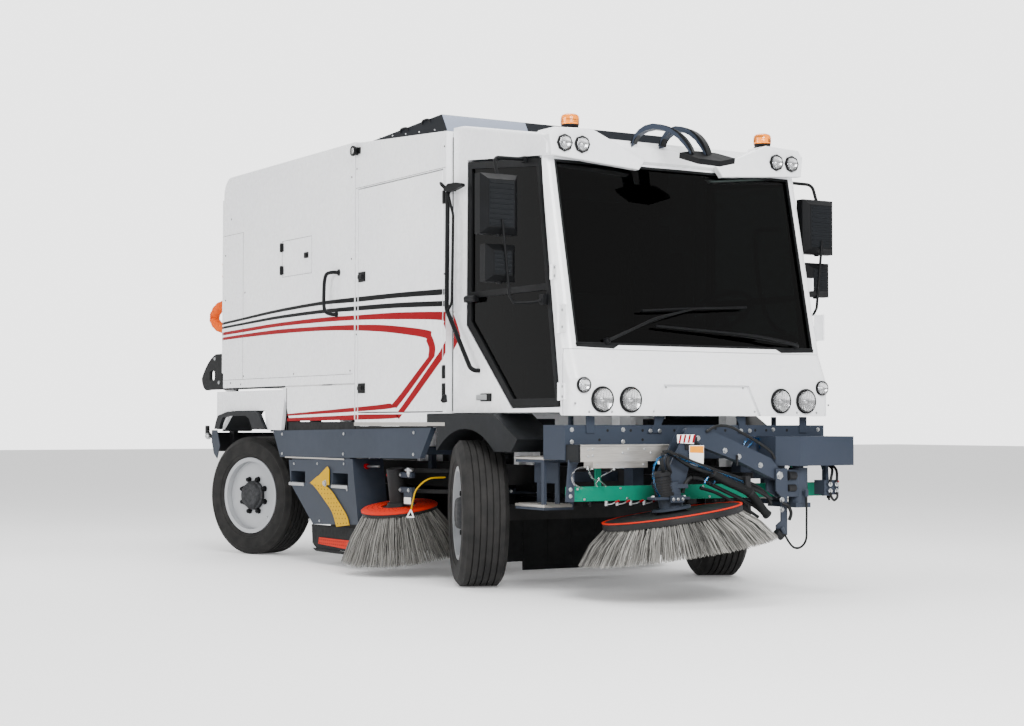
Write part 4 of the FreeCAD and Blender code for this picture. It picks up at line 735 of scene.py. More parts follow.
def fitCrossBrush():
    place = {"y": 2.44, "z": 0.305, "half": 0.636, "core": 0.1, "tip": 0.232, "rows": 10, "strands": 3200}
    core, strands = newMeshes(2)
    axis = Vector((1, 0, 0))
    left = at(-place["half"], place["y"], place["z"])
    addLathe(core, left, axis, [(-0.04, 0.0), (-0.04, 0.022), (-0.036, 0.025), (0, 0.025), (0, place["core"]),
                                (2 * place["half"], place["core"]), (2 * place["half"], 0.025),
                                (2 * place["half"] + 0.036, 0.025), (2 * place["half"] + 0.04, 0.022),
                                (2 * place["half"] + 0.04, 0)], 32)
    finishPiece(core, "crossBrushCore", "blackPlastic", "cross_brush", ["cross_brush"])
    for k in range(place["strands"]):
        along = strandDice.uniform(0.01, 2 * place["half"] - 0.01)
        turn = math.tau * (k % place["rows"]) / place["rows"] + along * 2.2 + strandDice.gauss(0, 0.05)
        out = Vector((0, math.cos(turn), math.sin(turn)))
        root = left + axis * along + out * (place["core"] - 0.003)
        tip = left + axis * along + out * (place["tip"] - abs(strandDice.gauss(0, 0.003)))
        addStrand(strands, root, tip, axis * strandDice.gauss(0, 0.003), 0.0026)
    finishPiece(strands, "crossBrushStrands", "bristle", "cross_brush")


fitFrontBrush()
eachSide(fitSideBrush)
fitCrossBrush()
print("brushes fitted")

# lamps with bezels, reflectors and lenses, beacons, tail lamps and rear markers
# a lamp has x, z, radius, y of the face and kind; a bezel's facets, width and depth by kind
lamps = {
    "places": [(0.792, 1.204, 0.076, -1.195, "head"), (0.585, 1.204, 0.076, -1.195, "head"),
        (0.926, 1.29, 0.046, -1.195, "turn"), (0.895, 2.779, 0.05, -0.935, "roof"),
        (0.767, 2.779, 0.05, -0.935, "roof")],
    "bezels": {"head": (48, 1.05, 0.018), "turn": (48, 1.05, 0.018), "roof": (8, 1.1, 0.019)}, "ribs": 9,
    "ribGap": 0.19,
}
beacon = {
    "foot": (0.764, -0.8, 2.884), "rings": 7, "ringStep": 0.0065,
    "base": [(0, 0), (0, 0.056), (0.012, 0.058), (0.02, 0.052), (0.03, 0.056), (0.034, 0.056), (0.034, 0)],
    "collar": [(0.0345, 0), (0.0345, 0.0585)],
    "crown": [(0.085, 0.057), (0.095, 0.05), (0.1015, 0.036), (0.104, 0.018), (0.1055, 0)],
}


def fitLamps(side, word):
    bezels, bowls, lenses = newMeshes(3)
    for x, z, r, face, kind in lamps["places"]:
        middle = at(side * x, face, z)
        sides, wide, depth = lamps["bezels"][kind]
        rim = [(0.0004, r * wide), (depth * 0.7, r * wide), (depth, r * wide * 0.95), (depth, r * 0.93),
               (0.004, r * 0.9), (0.0004, r * 0.9)]
        bowl = [(0.0006, 0), (0.0006, r * 0.885), (depth - 0.004, r * 0.885), (0.008, r * 0.62), (0.004, r * 0.3),
                (0.0036, 0)]
        bulb = [(0, 0), (0, r * 0.16), (0.006, r * 0.16), (0.009, r * 0.09), (0.0095, 0)]
        lens = [(depth - 0.0035, 0), (depth - 0.0035, r * 0.91), (depth - 0.001, r * 0.91), (depth + 0.003, r * 0.7),
                (depth + 0.006, r * 0.36), (depth + 0.007, 0)]
        addLathe(bezels, middle, forward, rim, sides, closed=True)
        addLathe(bowls, middle, forward, bowl, 40)
        addLathe(bowls, middle + forward * 0.003, forward, bulb, 20)
        addLathe(lenses, middle, forward, lens, 40)
        for k in range(lamps["ribs"] if kind == "head" else 0):
            shift = (k - lamps["ribs"] // 2) * r * lamps["ribGap"]
            high = math.sqrt(max(r * r * 0.72 - shift * shift, 0))
            low, top = (middle + Vector((shift, -depth - 0.0035, z)) for z in (-high, high))
            addRod(lenses, low, top, 0.0016, 6)
    finishPiece(bezels, f"lampBezels_{word}", "blackPlastic", replaced=["lamps"] if side < 0 else [])
    finishPieces({"lampReflectors": (bowls, "chrome"), "lampLenses": (lenses, "lens")}, word=word)
    # amber beacon on a black foot
    base, dome = newMeshes(2)
    x, y, z = beacon["foot"]
    foot = at(side * x, y, z)
    addLathe(base, foot, (0, 0, 1), beacon["base"], 40)
    rings = [(0.037 + beacon["ringStep"] * k, 0.0595 if k % 2 else 0.0575) for k in range(beacon["rings"])]
    addLathe(dome, foot, (0, 0, 1), beacon["collar"] + rings + beacon["crown"], 40)
    finishPieces({"beaconBase": (base, "blackPlastic"), "amberLenses": (dome, "amber")}, word=word)


# each block of a side: x from and to, its low and high (y, z) corner and its eased edge
rearLamps = {
    "housing": (0.62, 0.9, (4.312, 0.84), (4.34, 0.96), 0.008),
    "stalk": [(0.997, 4.31, 0.93), (0.997, 4.38, 0.931), (0.997, 4.46, 0.955), (0.997, 4.52, 0.99)],
    "marker": (0.985, 1.009, (4.5, 0.962), (4.558, 1.038), 0.006),
    "tail": [(0.628, 0.7, "lens"), (0.706, 0.8, "ruby"), (0.806, 0.892, "amber")],
    "spots": [(4.555, 4.5595, "ruby"), (4.4985, 4.503, "lens")], "spotAt": (0.997, 1.0), "spotRadius": 0.01,
}


def fitRearLamps(side, word):
    back = bmesh.new()
    sideBlock(back, side, *rearLamps["housing"])
    addTube(back, placed(rearLamps["stalk"], side), 0.012, 12, radii=lambda s: 0.015 - 0.004 * s)
    sideBlock(back, side, *rearLamps["marker"])
    finishPiece(back, f"rearLampHousings_{word}", "seal")
    for x0, x1, colour in rearLamps["tail"]:
        glass = bmesh.new()
        sideBlock(glass, side, x0, x1, (4.338, 0.848), (4.35, 0.952), 0.005)
        finishPiece(glass, f"tailLens_{colour}_{word}", colour)
    x, z = rearLamps["spotAt"]
    for y0, y1, colour in rearLamps["spots"]:
        spot, r = bmesh.new(), rearLamps["spotRadius"]
        addLathe(spot, at(side * x, y0, z), (0, 1, 0), [(0, 0), (0, r), (y1 - y0, r), (y1 - y0, 0)], 20)
        finishPiece(spot, f"markerLens_{colour}_{word}", colour)


eachSide(fitLamps)
eachSide(fitRearLamps)
print("lamps fitted")

# stripes: each is a band between an upper and a lower line along the side
stripes = {
    "upperBlack": ("stripeBlack", [(4.1, 1.9), (3.65, 1.92), (2.96, 1.952), (2.17, 1.971), (1.605, 1.97),
        (0.95, 1.964), (0.285, 1.951)], [(4.1, 1.879), (3.65, 1.899), (2.96, 1.928), (2.17, 1.944), (1.605, 1.935),
        (0.95, 1.929), (0.285, 1.911)]),
    "lowerBlack": ("stripeBlack", [(4.1, 1.865), (3.65, 1.879), (2.96, 1.901), (2.17, 1.909), (1.605, 1.905),
        (0.95, 1.894), (0.285, 1.871)], [(4.1, 1.845), (3.65, 1.859), (2.96, 1.877), (2.17, 1.881), (1.605, 1.872),
        (0.95, 1.859), (0.285, 1.835)]),
    "upperRed": ("stripeRed", [(4.1, 1.816), (3.65, 1.829), (2.96, 1.845), (2.17, 1.849), (1.605, 1.839),
        (0.95, 1.827), (0.3, 1.799), (0.252, 1.787), (0.161, 1.648), (0.178, 1.61), (0.316, 1.48)],
        [(4.1, 1.791), (3.65, 1.801), (2.96, 1.816), (2.17, 1.815), (1.605, 1.805), (0.95, 1.78), (0.345, 1.746),
        (0.29, 1.714), (0.245, 1.64), (0.262, 1.61), (0.345, 1.535)]),
    "upperRedReturn": ("stripeRed", [(0.316, 1.48), (0.871, 1.121), (0.969, 1.095), (1.557, 1.084), (2.774, 1.074)],
        [(0.345, 1.535), (0.92, 1.15), (0.994, 1.133), (1.557, 1.12), (2.774, 1.098)]),
    "lowerRed": ("stripeRed", [(4.1, 1.774), (3.64, 1.784), (2.955, 1.793), (2.17, 1.784), (1.6, 1.77), (1.1, 1.745),
        (0.519, 1.687), (0.46, 1.65), (0.408, 1.575), (0.414, 1.507)], [(4.1, 1.751), (3.64, 1.757), (2.95, 1.76),
        (2.17, 1.751), (1.6, 1.729), (1.1, 1.696), (0.58, 1.64), (0.53, 1.61), (0.494, 1.56), (0.506, 1.504)]),
    "lowerRedReturn": ("stripeRed", [(0.414, 1.507), (0.896, 1.201), (1.019, 1.165), (1.558, 1.144), (2.774, 1.115)],
        [(0.506, 1.504), (0.982, 1.214), (1.081, 1.197), (1.558, 1.175), (2.775, 1.13)]),
}
# the panels that carry them: body, reach along the side, heights, half width there
stripePanels = [("hopper_rear_door", 4.066, 4.096, 1.48, 2.9, 1.0452), ("hopper", 3.654, 4.056, 1.42, 2.9, 1.0502),
                ("hopper", 1.618, 3.646, 1.42, 2.9, 1.0502), ("chassis", 1.614, 2.768, 1.06, 1.35, 1.0502),
                ("chassis", 1.564, 1.596, 1.06, 2.9, 1.0502), ("engine_door", 0.312, 1.55, 1.136, 2.7, 1.0502),
                ("chassis", 0.312, 1.55, 1.06, 1.122, 1.0502), ("chassis", 0.266, 0.298, 1.06, 2.9, 1.0502),
                ("chassis", 0.14, 0.246, 1.3, 1.9, 1.0002)]


def layStripe(name, side, word):
    colour, upper, lower = stripes[name]
    top = curveThrough([at(0, y, z) for y, z in upper], 8)
    low = curveThrough([at(0, y, z) for y, z in lower], 8)
    sheets = {}
    for body, y0, y1, z0, z1, half in stripePanels:
        patches = []
        for k in range(len(top) - 1):
            patch = clipped([top[k], top[k + 1], low[k + 1], low[k]], 1, y0 + axleY, y1 + axleY)
            patch = clipped(patch, 2, z0, z1)
            tidy = [p for n, p in enumerate(patch) if (p - patch[n - 1]).length > 0.0002]
            if len(tidy) > 2:
                patches.append([Vector((side * half, p.y, p.z)) for p in tidy])
        if patches:
            body = f"engine_door_{word}" if body == "engine_door" else body
            addFilm(sheets.setdefault(body, bmesh.new()), patches, Vector((side * 0.0008, 0, 0)))
    for body, film in sheets.items():
        finishPiece(film, f"{name}_{body}_{word}", colour, body)


for name in stripes:
    eachSide(lambda side, word: layStripe(name, side, word))
print("stripes laid")

# front panel and windscreen: rubber gasket, recess screws, wipers, rear-view mirror
screen = {"foot": (-1.119, 1.512), "top": (-0.861, 2.706), "half": 0.925, "low": 1.537, "high": 2.686}


# a place on the windscreen's slope, and how far it stands off the glass
def onScreen(x, z, off=0.0):
    (y0, z0), (y1, z1) = screen["foot"], screen["top"]
    lean = Vector((0, z0 - z1, y1 - y0)).normalized()
    return at(x, y0 + (y1 - y0) * (z - z0) / (z1 - z0), z) + lean * off


def fitGasket():
    seal = bmesh.new()
    w, low, high = screen["half"], screen["low"], screen["high"]
    corners = [(-w, low), (w, low), (w, high), (-w, high)]
    inset = 0.014
    inner = [(-w + inset, low + inset), (w - inset, low + inset), (w - inset, high - inset),
             (-w + inset, high - inset)]
    patches = []
    for k in range(4):
        n = (k + 1) % 4
        patches.append([onScreen(*p, -0.01) for p in (corners[k], corners[n], inner[n], inner[k])])
    addFilm(seal, patches, onScreen(0, 2, 0.002) - onScreen(0, 2, -0.01))
    finishPiece(seal, "windscreenSeal", "seal")


def fitWiper(name, pivot, mid, blade):
    arm = bmesh.new()
    foot = onScreen(*pivot, -0.004)
    lean = (onScreen(0, 2, 1) - onScreen(0, 2, 0)).normalized()
    addLathe(arm, foot, lean, [(0, 0), (0, 0.022), (0.02, 0.02), (0.03, 0.013), (0.034, 0.0)], 20)
    elbow = onScreen(*mid, 0.045)
    rise = foot + lean * 0.032
    tip = onScreen((blade[0][0] + blade[1][0]) / 2, (blade[0][1] + blade[1][1]) / 2, 0.034)
    addTube(arm, [rise, rise.lerp(elbow, 0.5) + lean * 0.012, elbow, elbow.lerp(tip, 0.6) + lean * 0.003, tip],
            0.0075, 8, radii=lambda s: 0.011 - 0.006 * s)
    addTube(arm, [foot + lean * 0.012, elbow - lean * 0.012 + Vector((0, 0, -0.012)), tip - lean * 0.006], 0.0045, 8)
    a, b = (onScreen(x, z, 0.02) for x, z in blade)
    addTube(arm, [a, a.lerp(b, 0.5) + lean * 0.01, b], 0.007, 8)
    finishPiece(arm, name + "Arm", "blackPlastic")
    rubber = bmesh.new()
    across = (b - a).normalized().cross(lean) * 0.004
    foot0, foot1 = (onScreen(x, z, 0.0015) for x, z in blade)
    addPlate(rubber, [foot0 - across * 0.4, foot1 - across * 0.4, b - across * 0.4, a - across * 0.4], across * 0.8)
    finishPiece(rubber, name + "Blade", "seal")


def fitRearView():
    mirror, glass = newMeshes(2)
    outline = [(-0.29, 2.515), (-0.01, 2.505), (0.012, 2.48), (-0.035, 2.42), (-0.1, 2.385), (-0.25, 2.39),
               (-0.345, 2.425)]
    addPlate(mirror, [at(x, -0.8, z) for x, z in outline], Vector((0, -0.03, 0)), 0.008)
    face = [at(-0.165 + (x + 0.165) * 0.92, -0.797, 2.45 + (z - 2.45) * 0.88) for x, z in outline]
    addPlate(glass, face, Vector((0, -0.004, 0)), 0.001)
    stem = [(-0.18, 2.79), (-0.015, 2.79), (-0.02, 2.62), (-0.045, 2.5), (-0.15, 2.5), (-0.17, 2.62)]
    addPlate(mirror, [at(x, -0.79, z) for x, z in stem], Vector((0, -0.03, 0)), 0.006)
    finishPieces({"rearViewMirror": (mirror, "blackPlastic"), "rearViewGlass": (glass, "chrome")})


# deep covers on the two bands of the front mirror
def fitMirrorBands():
    cover = bmesh.new()
    rise = [(0.02, -0.02), (0.07, 0.048), (0.14, 0.08), (0.24, 0.104), (0.36, 0.113), (0.5, 0.104), (0.64, 0.078),
            (0.76, 0.04), (0.88, -0.02), (0.97, -0.078)]
    for footX, tipX in ((-0.345, -0.1), (-0.12, 0.02)):
        foot, tip = at(footX, -0.87, 0), at(tipX, -1.2, 0)
        along = (tip - foot).normalized()
        across = Vector((-along.y, along.x, 0)) * 0.036
        rings = []
        for k, (share, lift) in enumerate(rise):
            middle = foot.lerp(tip, share) + Vector((0, 0, 2.823 + lift))
            deep = 0.014 + 0.016 * math.sin(math.pi * (k + 1) / 11)
            corners = ((-1, 0.004), (1, 0.004), (1, -deep), (-1, -deep))
            rings.append([middle + across * s + Vector((0, 0, t)) for s, t in corners])
        for first, second in zip(rings, rings[1:]):
            addHull(cover, first + second)
    finishPiece(cover, "mirrorBandCovers", "slate", crease=50)


grabTube = {
    "tube": [(0.7, -0.8, 2.33), (0.668, -0.85, 2.15), (0.655, -0.9, 1.95), (0.672, -0.945, 1.78), (0.73, -0.96, 1.69),
        (0.82, -0.96, 1.655)],
    "tubeRadius": 0.014, "poleRadius": 0.012, "pole": [(0.35, -0.1, 1.5), (0.35, -0.1, 2.0), (0.35, -0.1, 2.7)],
    "stay": [(0.7, -0.8, 2.33), (0.76, -0.79, 2.345), (0.9, -0.79, 2.35)],
}


# grab tube at the driver's pillar and a pole behind the glass
def fitCabInside():
    tube = bmesh.new()
    addTube(tube, placed(grabTube["tube"]), grabTube["tubeRadius"], 12)
    for name in ("pole", "stay"):
        addTube(tube, placed(grabTube[name]), grabTube["poleRadius"], 12)
    finishPiece(tube, "cabGrabTube", "blackPlastic")


panelScrews = {
    "middle": [(-0.3, 1.283), (0.3, 1.283), (-0.395, 1.135), (0.395, 1.135)],
    "sides": [(0.885, 1.13), (0.72, 1.13), (0.985, 1.18)], "flats": 0.01, "high": 0.004,
}


def fitPanelScrews():
    bolts = bmesh.new()
    addBolts(bolts, [(x, -1.17, z) for x, z in panelScrews["middle"]], forward, panelScrews["flats"],
             panelScrews["high"])
    for side in (-1, 1):
        addBolts(bolts, [(x, -1.195, z) for x, z in panelScrews["sides"]], forward, panelScrews["flats"],
                 panelScrews["high"], side)
    finishPiece(bolts, "frontPanelScrews", "zinc")


# black band printed on the glass's lower corners, stepped down beside the raised panel
def fitScreenBand():
    band = bmesh.new()
    for side in (-1, 1):
        outline = [(0.93, 1.545), (0.6, 1.545), (0.655, 1.515), (0.925, 1.522)]
        addFilm(band, [[onScreen(side * x, z, 0.0006) for x, z in outline]],
                onScreen(0, 2, 0.0014) - onScreen(0, 2, 0))
    finishPiece(band, "screenBand", "seal")


fitGasket()
fitScreenBand()
fitWiper("wiperRight", (-0.7, 1.56), (-0.34, 1.7), [(-0.42, 1.752), (0.405, 1.8)])
fitWiper("wiperLeft", (0.78, 1.562), (0.42, 1.61), [(-0.33, 1.66), (0.5, 1.61)])
fitRearView()
fitMirrorBands()
fitCabInside()
fitPanelScrews()
print("windscreen trimmed")


# cab sides: a hinge has its y, z, half height and length
cabSide = {
    "hinges": [(-1.0, 1.978, 0.042, 0.028), (-1.075, 1.69, 0.085, 0.06), (-1.085, 1.251, 0.05, 0.028)],
    "seam": (0.985, 1.002, (0.2505, 1.14), (0.261, 2.96), 0.001),
    "handle": ((1.02, -0.08, 1.868), (1.02, 0.052, 1.872)), "handleRadius": 0.021,
    "handleFoot": ((0.998, 0.02, 1.871), (1.02, 0.02, 1.871)), "handleFootRadius": 0.012,
    "marker": (0.999, 1.012, (-0.25, 1.2), (-0.12, 1.252), 0.01),
    "markerLens": (1.004, 1.018, (-0.205, 1.208), (-0.075, 1.244), 0.006),
}


def fitCabSide(side, word):
    hinges, bolts, seam, handle, marker, spot = newMeshes(6)
    for y, z, high, long in cabSide["hinges"]:
        sideBlock(hinges, side, 0.999, 1.01, (y - long, z - high), (y + 0.028, z + high), 0.003)
        pin = placed([(1.01, y + 0.03, z - high - 0.004), (1.01, y + 0.03, z + high + 0.004)], side)
        addRod(hinges, *pin, 0.01, 12)
        addBolts(bolts, [(1.01, y - long * 0.3, z + high * rise) for rise in (-0.6, 0.6)], (side, 0, 0), 0.012, 0.005,
                 side)
    sideBlock(seam, side, *cabSide["seam"])
    finishPieces({"doorHinges": (hinges, "white"), "cabRearSeam": (seam, "seal")}, word=word)
    addRod(handle, *placed(cabSide["handle"], side), cabSide["handleRadius"], 18, 0.3)
    addRod(handle, *placed(cabSide["handleFoot"], side), cabSide["handleFootRadius"], 14)
    finishPiece(handle, f"doorHandle_{word}", "blackPlastic", "door_" + word)
    sideBlock(marker, side, *cabSide["marker"])
    sideBlock(spot, side, *cabSide["markerLens"])
    finishPieces({"sideMarker": (marker, "blackPlastic"), "sideMarkerLens": (spot, "zinc"),
                  "doorHingeBolts": (bolts, "zinc")}, word=word)


# a mirror head has its x, foot, top and half width
mirrorHeads = {
    "heads": [(1.265, 2.21, 2.58, 0.133), (1.255, 1.92, 2.15, 0.105)], "face": -0.81, "rear": -0.71,
    "panelInset": 0.045, "glassInset": 0.01, "ribRadius": 0.0045,
    "pivot": [(0, 0), (0, 0.016), (0.014, 0.022), (0.014, 0)],
}


# ribbed lighter panels on the backs of both mirror heads, and the glass in their faces
def fitMirrorBacks(side, word):
    ribs, glass, pivots = newMeshes(3)
    face, rear = mirrorHeads["face"], mirrorHeads["rear"]
    for x, low, high, half in mirrorHeads["heads"]:
        left, right = side * x - half, side * x + half
        inset = mirrorHeads["panelInset"]
        addBlock(ribs, at(left + inset, face - 0.003, low + inset), at(right - inset, face + 0.004, high - inset),
                 0.004)
        count = 9 if high - low > 0.3 else 5
        for k in range(count):
            z = low + 0.06 + (high - low - 0.12) * k / (count - 1)
            addRod(ribs, at(left + 0.052, face - 0.004, z), at(right - 0.052, face - 0.004, z),
                   mirrorHeads["ribRadius"], 8)
        inset = mirrorHeads["glassInset"]
        addBlock(glass, at(left + inset, rear - 0.001, low + inset), at(right - inset, rear + 0.003, high - inset),
                 0.002)
        addLathe(pivots, at(side * x, rear - 0.05, low - 0.012), (0, 0, 1), mirrorHeads["pivot"], 20)
    finishPieces({"mirrorRibs": (ribs, "greyPlastic"), "mirrorGlass": (glass, "chrome"),
                  "mirrorJoints": (pivots, "blackPlastic")}, "door_" + word, word)


doorCatch = {
    "ring": [(1.052, 0.268, 2.62), (1.085, 0.24, 2.635), (1.098, 0.255, 2.65), (1.08, 0.28, 2.64),
        (1.052, 0.285, 2.62)],
    "ringRadius": 0.007, "plate": (1.0495, 1.064, (0.266, 1.195), (0.298, 1.325), 0.004),
    "buffer": [(1.055, 0.255, 1.24), (1.08, 0.225, 1.235), (1.09, 0.215, 1.205)],
}


# black ring and clip on the engine bay's front edge that the door catches on
def fitBracket(side, word):
    catch = bmesh.new()
    addTube(catch, placed(doorCatch["ring"], side), doorCatch["ringRadius"], 8)
    sideBlock(catch, side, *doorCatch["plate"])
    addTube(catch, placed(doorCatch["buffer"], side), 0.02, 12, radii=lambda s: 0.01 + 0.014 * s)
    finishPiece(catch, f"doorCatch_{word}", "blackPlastic")


eachSide(fitCabSide)
eachSide(fitMirrorBacks)
eachSide(fitBracket)
print("cab sides trimmed")

# front end: bumper fittings, spray bar, valve box, arm, hoses and signs


def front(points, y):
    return [at(x, y, z) for x, z in points]


# outlines and bolts of the right half, as (x, z) on the bumper's face
bumper = {
    "bracket": [(-0.356, 1.104), (-0.276, 1.104), (-0.303, 1.054), (-0.298, 1.001), (-0.407, 1.001), (-0.356, 1.054)],
    "tab": [(-0.86, 1.104), (-0.8, 1.104), (-0.8, 1.0), (-0.86, 1.0)],
    "endPlate": [(-1.008, 0.842), (-0.93, 0.842), (-0.965, 0.76), (-0.965, 0.59), (-1.03, 0.59)],
    "bracketBolts": [(-0.388, -1.129, 1.014), (-0.318, -1.129, 1.014)],
    "beamBolts": [(-0.586, -1.12, 1.022), (-0.96, -1.12, 1.022), (-0.586, -1.12, 0.949), (-0.96, -1.12, 0.949)],
    "endBolts": [(-0.995, -1.16, 0.665), (-0.995, -1.16, 0.625)],
    "holes": [(-0.529, 1.017), (-0.44, 1.017), (-0.199, 1.017), (-0.44, 0.96), (-0.199, 0.96), (-0.122, 1.028),
        (-0.7, 1.017), (-0.76, 0.96)],
}


def fitBumper():
    plates, bolts, holes = newMeshes(3)
    for side in (1, -1):
        for name, y, thick in (("bracket", -1.1202, 0.009), ("tab", -1.1202, 0.008), ("endPlate", -1.1515, 0.008)):
            addPlate(plates, front([(side * x, z) for x, z in bumper[name]], y), forward * thick, 0.0015)
        for name, flats, high in (("bracketBolts", 0.019, 0.01), ("beamBolts", 0.019, 0.01),
                                  ("endBolts", 0.017, 0.008)):
            addBolts(bolts, bumper[name], forward, flats, high, side)
        # painted shade: dark discs stand for the shaded insides of the bumper's holes
        for x, z in bumper["holes"]:
            addRod(holes, at(side * x, -1.1195, z), at(side * x, -1.1208, z), 0.009, 14, 0.05)
    finishPieces({"bumperBrackets": (plates, "slate"), "bumperBolts": (bolts, "zinc"),
                  "bumperHoleShade": (holes, "seal")})


valveBox = {
    "faceScrews": [(-0.931, 0.903), (-0.898, 0.906), (-0.931, 0.863), (-0.898, 0.867), (-0.682, 0.882),
        (-0.475, 0.882), (-0.64, 0.905), (-0.52, 0.905)],
    "footScrews": [(-0.85, 0.812), (-0.51, 0.812)], "caps": [(-1.004, -0.986), (-0.339, -0.325)],
}


def fitValveBox():
    screws, cap, lid = newMeshes(3)
    for name, y in (("faceScrews", -1.255), ("footScrews", -1.23)):
        addBolts(screws, [(x, y, z) for x, z in valveBox[name]], forward, 0.011, 0.006)
    for x0, x1 in valveBox["caps"]:
        addBlock(cap, at(x0, -1.26, 0.828), at(x1, -1.116, 0.934), 0.006)
    addBlock(lid, at(-0.986, -1.259, 0.921), at(-0.339, -1.116, 0.933), 0.002)
    finishPieces({"valveBoxScrews": (screws, "zinc"), "valveBoxCaps": (cap, "greyPlastic"),
                  "valveBoxLid": (lid, "stainless")})


sprayBar = {
    "nozzles": 7, "first": -0.94, "pitch": 0.313, "taps": (-0.72, -0.64, -0.54, -0.44),
    "nozzle": [(0, 0.01), (0.008, 0.013), (0.018, 0.013), (0.02, 0.008), (0.034, 0.007), (0.034, 0.003)],
}


def fitSprayBar():
    rivets, nozzles, levers, knobs = newMeshes(4)
    for k in range(sprayBar["nozzles"]):
        x = sprayBar["first"] + sprayBar["pitch"] * k
        for shift, z in ((0, 0.667), (0.05, 0.604)):
            addRod(rivets, at(x + shift, -1.149, z), at(x + shift, -1.156, z), 0.008, 14, 0.3)
        addLathe(nozzles, at(x + 0.1, -1.13, 0.593), (0, -0.3, -1), sprayBar["nozzle"], 16)
    for x in sprayBar["taps"]:
        addRod(levers, at(x, -1.135, 0.594), at(x, -1.135, 0.56), 0.011, 12)
        addTube(levers, placed([(x, -1.146, 0.57), (x + 0.02, -1.165, 0.574), (x + 0.045, -1.172, 0.585)]), 0.004, 8)
        addTube(knobs, placed([(x + 0.04, -1.171, 0.583), (x + 0.052, -1.174, 0.588), (x + 0.066, -1.176, 0.592)]),
                0.0065, 8)
    finishPieces({"sprayBarRivets": (rivets, "zinc"), "sprayNozzles": (nozzles, "blackPlastic"),
                  "sprayTaps": (levers, "zinc"), "sprayTapGrips": (knobs, "stripeRed")})


# each clear and blue line lies at one y; the last blue one leaves it
looseLines = {
    "clear": [(-1.185, [(-0.89, 0.8), (-0.96, 0.79), (-1.0, 0.75), (-0.985, 0.7), (-0.93, 0.672)]),
        (-1.19, [(-0.86, 0.8), (-0.882, 0.77), (-0.852, 0.728), (-0.8, 0.715), (-0.76, 0.68)]),
        (-1.18, [(-0.7, 0.795), (-0.722, 0.77), (-0.79, 0.74), (-0.823, 0.705), (-0.815, 0.68)])],
    "blue": [(-1.16, [(0.33, 0.86), (0.345, 0.905), (0.395, 0.95), (0.44, 0.94), (0.445, 0.9)]),
        (-1.15, [(0.3, 0.86), (0.32, 0.925), (0.36, 0.965), (0.43, 0.968), (0.446, 0.955)])],
    "feed": [(-0.3, -1.15, 0.7), (-0.33, -1.19, 0.74), (-0.35, -1.2, 0.8), (-0.32, -1.17, 0.85),
        (-0.27, -1.13, 0.88)],
    "sockets": [(-0.89, 0.798), (-0.86, 0.798), (-0.7, 0.793)], "elbows": (0.3, 0.33), "clearRadius": 0.0045,
    "blueRadius": 0.005,
}


# thin clear and blue lines looped between the valve box, the bar and the bumper
def fitLooseLines():
    clear, blue, fittings = newMeshes(3)
    for y, points in looseLines["clear"]:
        addTube(clear, front(points, y), looseLines["clearRadius"])
    for y, points in looseLines["blue"]:
        addTube(blue, front(points, y), looseLines["blueRadius"])
    addTube(blue, placed(looseLines["feed"]), looseLines["blueRadius"])
    for x, z in looseLines["sockets"]:
        addRod(fittings, at(x, -1.188, z - 0.016), at(x, -1.188, z + 0.008), 0.009, 12)
    for x in looseLines["elbows"]:
        addRod(fittings, at(x, -1.118, 0.858), at(x, -1.165, 0.858), 0.01, 12)
    finishPieces({"clearLines": (clear, "lens"), "blueLines": (blue, "airHose"),
                  "lineFittings": (fittings, "chrome")})


signs = {
    "y": -1.372, "thick": 0.003, "film": 0.0008, "bands": 4, "bandStart": -0.356, "bandPitch": 0.034,
    "hazard": [(-0.366, 0.993), (-0.232, 0.993), (-0.24, 0.935), (-0.363, 0.943)],
    "plate": [(-0.275, 0.927), (-0.163, 0.927), (-0.166, 0.794), (-0.27, 0.805)],
    "head": [(-0.271, 0.923), (-0.167, 0.923), (-0.168, 0.88), (-0.27, 0.883)],
    "holders": [(-0.3, 0.9, -0.255, 0.96), (-0.23, 0.86, -0.19, 0.925)],
}


# a red and white hazard plate and a blank white one with an orange head, on the arm
def fitSigns():
    holders, red, orange, back = newMeshes(4)
    y, film = signs["y"], forward * signs["film"]
    for name in ("hazard", "plate"):
        addPlate(back, front(signs[name], y), forward * signs["thick"], 0.0008)
    for k in range(signs["bands"]):
        x = signs["bandStart"] + signs["bandPitch"] * k
        addPlate(red, front([(x, 0.9435), (x + 0.014, 0.9425), (x + 0.026, 0.991), (x + 0.012, 0.991)], y - 0.003),
                 film)
    addPlate(orange, front(signs["head"], y - 0.003), film)
    for x0, z0, x1, z1 in signs["holders"]:
        addBlock(holders, at(x0, y + 0.001, z0), at(x1, y + 0.03, z1), 0.003)
    finishPieces({"signPlates": (back, "signWhite"), "signBands": (red, "stripeRed"),
                  "signHead": (orange, "signOrange"), "signHolders": (holders, "blackSteel")}, "front_arm")


armBolts = {"bolts": [(-0.187, 0.97), (0.021, 0.893), (0.13, 0.855), (0.3, 0.8)], "flats": 0.024, "high": 0.012,
            "clips": [(-0.187, 0.97), (0.13, 0.855)],
            "fork": [(0.44, 0.735, 0.034), (0.456, 0.582, 0.024), (0.455, 0.522, 0.024)]}  # x, z, flats


def fitArm():
    bolts, clips, fork = newMeshes(3)
    addBolts(bolts, [(x, -1.344, z) for x, z in armBolts["bolts"]], forward, armBolts["flats"], armBolts["high"])
    for x, z in armBolts["clips"]:
        addRod(clips, at(x - 0.02, -1.352, z - 0.055), at(x - 0.02, -1.352, z + 0.01), 0.007, 10)
    finishPieces({"armBolts": (bolts, "zinc"), "armClips": (clips, "blackSteel")}, "front_arm")
    for x, z, flats in armBolts["fork"]:
        addBolt(fork, at(x, -1.362, z), forward, flats, 0.013)
    finishPiece(fork, "forkBolts", "zinc", "front_arm_base")


